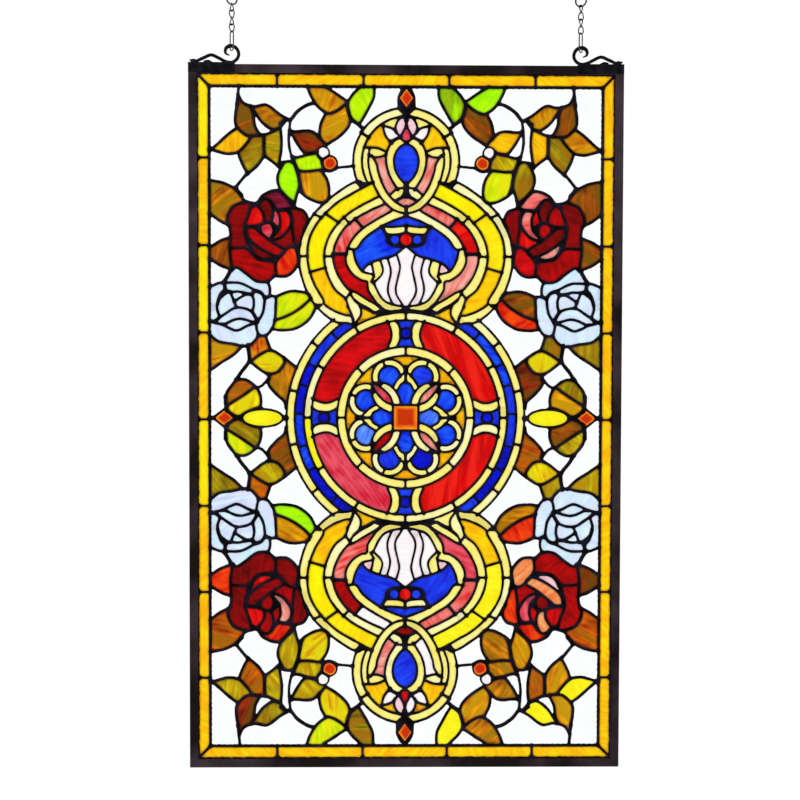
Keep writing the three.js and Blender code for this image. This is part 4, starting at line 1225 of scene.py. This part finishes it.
def glass_pieces(field, foil):
    """Every cut of glass, gathered in one object for each glass node of the frame."""
    labels = glass_regions(field)
    names = named_regions(labels)
    outlines = loops_by_region(field, labels, -GLASS_UNDER_BEAD, LEAST_OUTLINE)
    cores = loops_by_region(field, labels, SHADED_RIM_WIDTH, LEAST_CORE)
    places = np.argwhere(labels) * GRID - HALF_SPAN
    owners = labels[labels > 0]
    find = glass_finder()
    dice = random.Random(11)
    gathered = {}
    for label in sorted(outlines):
        cells = places[owners == label]
        node = find(cells[::max(1, len(cells) // VOTES)])
        x, z = cells.mean(axis=0)
        name = names.get(label) or usual_glass(node, x, z, dice)
        crown = crown_for(node, name, outlines[label][0], cells)
        if crown:
            shape = crowned_shape(outlines[label][0], crown)
        else:
            shape = flat_shape(outlines[label], cores.get(label, []))
        gathered.setdefault(node, []).append((name, shape, dice.random(), dice.random() * GRAIN_SHIFT))
    for node in sorted(gathered):
        glass_object(node, gathered[node], foil)


MATERIALS = {}


def glass_object(node, panes, foil):
    """The panes of one glass node in one mesh, each with the lie of its own grain and foil on its edges."""
    points = []
    faces = []
    slots = []
    grain = []
    rim = []
    used = []
    for name, (pane_points, pane_faces, is_edge, pane_rim), turn, shift in panes:
        if name not in used:
            used.append(name)
        start = len(points)
        lie = math.pi * turn
        for x, y, z in pane_points:
            points.append((x * MM, y * MM, PANEL_CENTRE + z * MM))
            along = (x * math.cos(lie) + z * math.sin(lie)) * MM
            across = (z * math.cos(lie) - x * math.sin(lie)) * MM
            grain.append((along + shift, across + shift, y * MM))
        rim += pane_rim
        faces += [[start + k for k in face] for face in pane_faces]
        slots += [0 if edge else 1 + used.index(name) for edge in is_edge]
    mesh = build_mesh("glass_" + node, points, faces, slots)
    layer = mesh.attributes.new("grain", "FLOAT_VECTOR", "POINT")
    layer.data.foreach_set("vector", np.array(grain, np.float32).ravel())
    # The rim value of each vertex, which places the painted shade at the pane's edge
    layer = mesh.attributes.new("rim", "FLOAT", "POINT")
    layer.data.foreach_set("value", np.array(rim, np.float32))
    for name in used:
        if name not in MATERIALS:
            MATERIALS[name] = glass_material(name)
    add_piece("glass_" + node, mesh, [foil] + [MATERIALS[name] for name in used], node)


# Hangers, in millimetres across and above the panel's own centre, drawn for the left one
SCROLL_PATH = [
    (-246, 416.2, 0.8), (-236, 420.8, 1), (-227.5, 424, 1), (-219, 420.6, 1), (-211, 416.6, 1),
    (-203.5, 415.6, 1), (-197.5, 419.5, 1), (-195.5, 425.5, 1), (-198.5, 432.2, 1), (-205, 434.7, 1.05),
    (-210.3, 431.8, 1.2), (-210.8, 426.2, 0.95), (-206, 423.6, 0.3),
]
SCROLL_STOCK = 4
SCROLL_FLAT = 0.85
LEAF_FLAT = 0.5
LEAF_POINT = 0.12
BAR_SIDES = 20
SOFT_EDGE = 0.25
SOFT_ANGLE = 50
SMALL_FACE = 4
LEAF_TIPS = [
    ((-243.5, 415.6), (-248.5, 417), (-253, 418.4), 5.6),
    ((-236, 415.2), (-231, 416.4), (-225.5, 415.4), 4.4),
]
SADDLE = {"inner": 200, "outer": 254, "drop": 9, "plate": 0.9, "top": 1.7, "back": 2}
CHAIN_X = 203.5
FIRST_LINK = (428.4, 22.8, 3.8)
LINK_LENGTH = 9.3
LINK_HALF_WIDTH = 3
LINK_WIRE = 1.5
LINK_TURN = 35
LINK_COUNT = 4
LINK_TWIST = 0.5
LINK_BITE = 0.2
END_STEPS = 14
WIRE_SIDES = 12
END_RING = (7, 2)
GAP = 0.3


def tube(centres, ways, radii, sides, closed, flat=1.0):
    """A round bar along its centres, as vertices and faces; flat squeezes it across its own plane."""
    points = []
    for centre, (side, up), radius in zip(centres, ways, radii):
        for k in range(sides):
            turn = 2 * math.pi * k / sides
            points.append(centre + side * (radius * math.cos(turn)) + up * (radius * flat * math.sin(turn)))
    count = len(centres)
    faces = []
    for i in range(count if closed else count - 1):
        faces += wall(i * sides, (i + 1) % count * sides, sides)
    if not closed:
        faces.append(list(range(sides))[::-1])
        faces.append([(count - 1) * sides + k for k in range(sides)])
    return points, faces


def joined(name, shapes):
    """One mesh of shapes that are drawn in millimetres from the panel's centre."""
    points = []
    faces = []
    for shape_points, shape_faces in shapes:
        start = len(points)
        points += [(x * MM, y * MM, z * MM + PANEL_CENTRE) for x, y, z in shape_points]
        faces += [[start + k for k in face] for face in shape_faces]
    return build_mesh(name, points, faces)


def flat_bar(knots, side, flat):
    """A bar in the plane of the panel through knots of x, z and share of the stock."""
    path = smooth_run([value for x, z, _ in knots for value in (-side * x, z)])
    shares = smooth_run([value for i, (_, _, share) in enumerate(knots) for value in (i, share)])
    spread = np.interp(np.linspace(0, len(knots) - 1, len(path)), shares[:, 0], shares[:, 1])
    centres = [Vector((x, 0, z)) for x, z in path]
    back = Vector((0, 1, 0))
    ways = []
    for before, after in zip(centres[:1] + centres, centres[1:] + centres[-1:]):
        ways.append(((after - before).normalized().cross(back), back))
    return tube(centres, ways, spread * SCROLL_STOCK / 2, BAR_SIDES, False, flat)


def box_shape(low_corner, high_corner):
    x0, y0, z0 = low_corner
    x1, y1, z1 = high_corner
    points = [Vector((x, y, z)) for x in (x0, x1) for y in (y0, y1) for z in (z0, z1)]
    faces = [[0, 1, 3, 2], [4, 6, 7, 5], [0, 4, 5, 1], [2, 3, 7, 6], [0, 2, 6, 4], [1, 5, 7, 3]]
    return points, faces


def scroll_piece(name, side, material):
    """A scroll with its leaf tips, on a plate over the frame's front and a strip over its top."""
    shapes = [flat_bar(SCROLL_PATH, side, SCROLL_FLAT)]
    for start, middle, end, width in LEAF_TIPS:
        share = width / SCROLL_STOCK
        shapes.append(flat_bar([(*start, share), (*middle, share), (*end, LEAF_POINT)], side, LEAF_FLAT))
    near, far = sorted((side * SADDLE["inner"], side * SADDLE["outer"]))
    front = FRAME_FRONT / MM - GAP
    under = (PANEL_TOP - PANEL_CENTRE) / MM
    over = under + GAP + SADDLE["top"]
    shapes.append(box_shape((near, front - SADDLE["plate"], under - SADDLE["drop"]), (far, front, over)))
    shapes.append(box_shape((near, front, under + GAP), (far, SADDLE["back"], over)))
    mesh = joined(name + "_iron", shapes)
    for polygon in mesh.polygons:
        polygon.use_smooth = len(polygon.vertices) == 4 and polygon.area < SMALL_FACE * MM * MM
    piece = add_piece(name + "_iron", mesh, [material], name)
    bevel = piece.modifiers.new("soft edges", "BEVEL")
    bevel.width = SOFT_EDGE * MM
    bevel.segments = 2
    bevel.limit_method = "ANGLE"
    bevel.angle_limit = math.radians(SOFT_ANGLE)


def loop_shape(x, z, half_width, half_length, wire, turn, twist=0.0):
    """A closed wire link that stands along Z, turned about Z and twisted over its length."""
    straight_half = half_length - half_width
    outline = []
    for end in (1, -1):
        for i in range(END_STEPS + 1):
            angle = math.pi * i / END_STEPS
            reach = straight_half + half_width * math.sin(angle)
            outline.append((end * half_width * math.cos(angle), end * reach))
    centres = []
    ways = []
    for before, (u, v), after in zip(outline[-1:] + outline, outline, outline[1:] + outline[:1]):
        along = (Vector(after) - Vector(before)).normalized()
        facing = math.radians(turn) + twist * v / half_length
        across = Vector((math.sin(facing), math.cos(facing), 0))
        normal = Vector((math.cos(facing), -math.sin(facing), 0))
        centres.append(Vector((x, 0, z)) + across * u + Vector((0, 0, v)))
        ways.append((across * along.y + Vector((0, 0, 1)) * -along.x, normal))
    return tube(centres, ways, [wire / 2] * len(centres), WIRE_SIDES, True)


def chain_piece(name, side, material):
    """A long link in the scroll's eye, short links above it, each a quarter turn on, and the end ring."""
    bottom, length, half_width = FIRST_LINK
    x = side * CHAIN_X
    reach = length / 2
    middle = bottom + LINK_WIRE / 2 + reach
    shapes = [loop_shape(x, middle, half_width, reach, LINK_WIRE, side * LINK_TURN)]
    for i in range(LINK_COUNT):
        middle += reach + LINK_LENGTH / 2 - LINK_WIRE + LINK_BITE
        reach = LINK_LENGTH / 2
        turn = side * (LINK_TURN + 90 * (i + 1))
        shapes.append(loop_shape(x, middle, LINK_HALF_WIDTH, reach, LINK_WIRE, turn, LINK_TWIST))
    radius, wire = END_RING
    middle += reach + radius - (LINK_WIRE + wire) / 2 + LINK_BITE
    shapes.append(loop_shape(x, middle, radius, radius, wire, side * (LINK_TURN + 90 * (LINK_COUNT + 1))))
    mesh = joined(name + "_links", shapes)
    mesh.shade_smooth()
    add_piece(name + "_links", mesh, [material], name)


def dress_frame(material):
    for name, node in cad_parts.items():
        if name.startswith("frame_"):
            node.data.materials.clear()
            node.data.materials.append(material)


solder = metal_material("solder", (8, 6, 8), (36, 31, 50), 0.34, 70)
foil = metal_material("foil", (8, 6, 5), (26, 16, 10), 0.5, 60)
patina = metal_material("frame_patina", (32, 23, 23), (78, 64, 72), 0.45, 14)
iron = metal_material("blackened_iron", (10, 9, 12), (34, 31, 42), 0.42, 120)
steel = metal_material("chain_steel", (50, 46, 44), (120, 112, 106), 0.35, 150)

drawing = kept_apart(cut_openings(rough_edges(solder_field())))
solder_pieces(drawing, solder)
glass_pieces(drawing, foil)
dress_frame(patina)
for side_name, side_sign in (("left", -1), ("right", 1)):
    scroll_piece("scroll_" + side_name, side_sign, iron)
    chain_piece("chain_" + side_name, side_sign, steel)

# Floor under the panel, a bright even surround and soft lamps
FLOOR_DROP = 0.345
FLOOR_CORNERS = [(-1.7, -1.9, 0), (1.7, -1.9, 0), (1.7, 0.9, 0), (-1.7, 0.9, 0)]
floor_mesh = build_mesh("floor", FLOOR_CORNERS, [[0, 1, 2, 3]])
floor = bpy.data.objects.new("floor", floor_mesh)
floor.location.z = PANEL_BOTTOM - FLOOR_DROP
bpy.context.scene.collection.objects.link(floor)
floor_paint = bpy.data.materials.new("pale_floor")
floor_paint.use_nodes = True
floor_shader = floor_paint.node_tree.nodes["Principled BSDF"]
floor_shader.inputs["Base Color"].default_value = (0.82, 0.82, 0.82, 1)
floor_shader.inputs["Roughness"].default_value = 0.8
floor_mesh.materials.append(floor_paint)

world = bpy.data.worlds.new("studio")
world.use_nodes = True
studio = world.node_tree
background = studio.nodes["Background"]
background.inputs["Color"].default_value = (1, 1, 1, 1)
way = studio.nodes.new("ShaderNodeTexCoord")
parts = studio.nodes.new("ShaderNodeSeparateXYZ")
falloff = studio.nodes.new("ShaderNodeMapRange")
falloff.interpolation_type = "SMOOTHSTEP"
for key, value in (("From Min", -0.5), ("From Max", 0.5), ("To Min", 0.5), ("To Max", 1.02)):
    falloff.inputs[key].default_value = value
studio.links.new(way.outputs["Generated"], parts.inputs[0])
studio.links.new(parts.outputs["Y"], falloff.inputs["Value"])
studio.links.new(falloff.outputs[0], background.inputs["Strength"])
bpy.context.scene.world = world


def soft_lamp(name, place, aim, size, power):
    light = bpy.data.lights.new(name, "AREA")
    light.size = size
    light.energy = power
    lamp = bpy.data.objects.new(name, light)
    lamp.location = place
    lamp.rotation_euler = (Vector(aim) - Vector(place)).to_track_quat("-Z", "Y").to_euler()
    bpy.context.scene.collection.objects.link(lamp)


soft_lamp("key", (-1.1, -1.6, 0.5), (0, 0, PANEL_CENTRE), 0.7, 9)
soft_lamp("fill", (1.3, -1.4, 0.1), (0, 0, PANEL_CENTRE), 0.9, 4)

# Camera, from the four corners of the frame in the photograph
CAMERA_PLACE = (-0.0361, -1.7639, -0.4042)
CAMERA_YAW = 0.957
CAMERA_PITCH = -2.233
CAMERA_ROLL = 0.147
CAMERA_LENS = 67.5
SENSOR_WIDTH = 36
camera_data = bpy.data.cameras.new("camera")
camera_data.lens = CAMERA_LENS
camera_data.sensor_width = SENSOR_WIDTH
camera = bpy.data.objects.new("camera", camera_data)
camera.location = CAMERA_PLACE
yaw = math.radians(CAMERA_YAW)
pitch = math.radians(CAMERA_PITCH)
forward = Vector((math.sin(yaw) * math.cos(pitch), math.cos(yaw) * math.cos(pitch), math.sin(pitch)))
turned = forward.to_track_quat("-Z", "Y") @ Quaternion((0, 0, 1), math.radians(CAMERA_ROLL))
camera.rotation_mode = "QUATERNION"
camera.rotation_quaternion = turned
bpy.context.scene.collection.objects.link(camera)
bpy.context.scene.camera = camera
bpy.context.scene.view_settings.view_transform = "Standard"
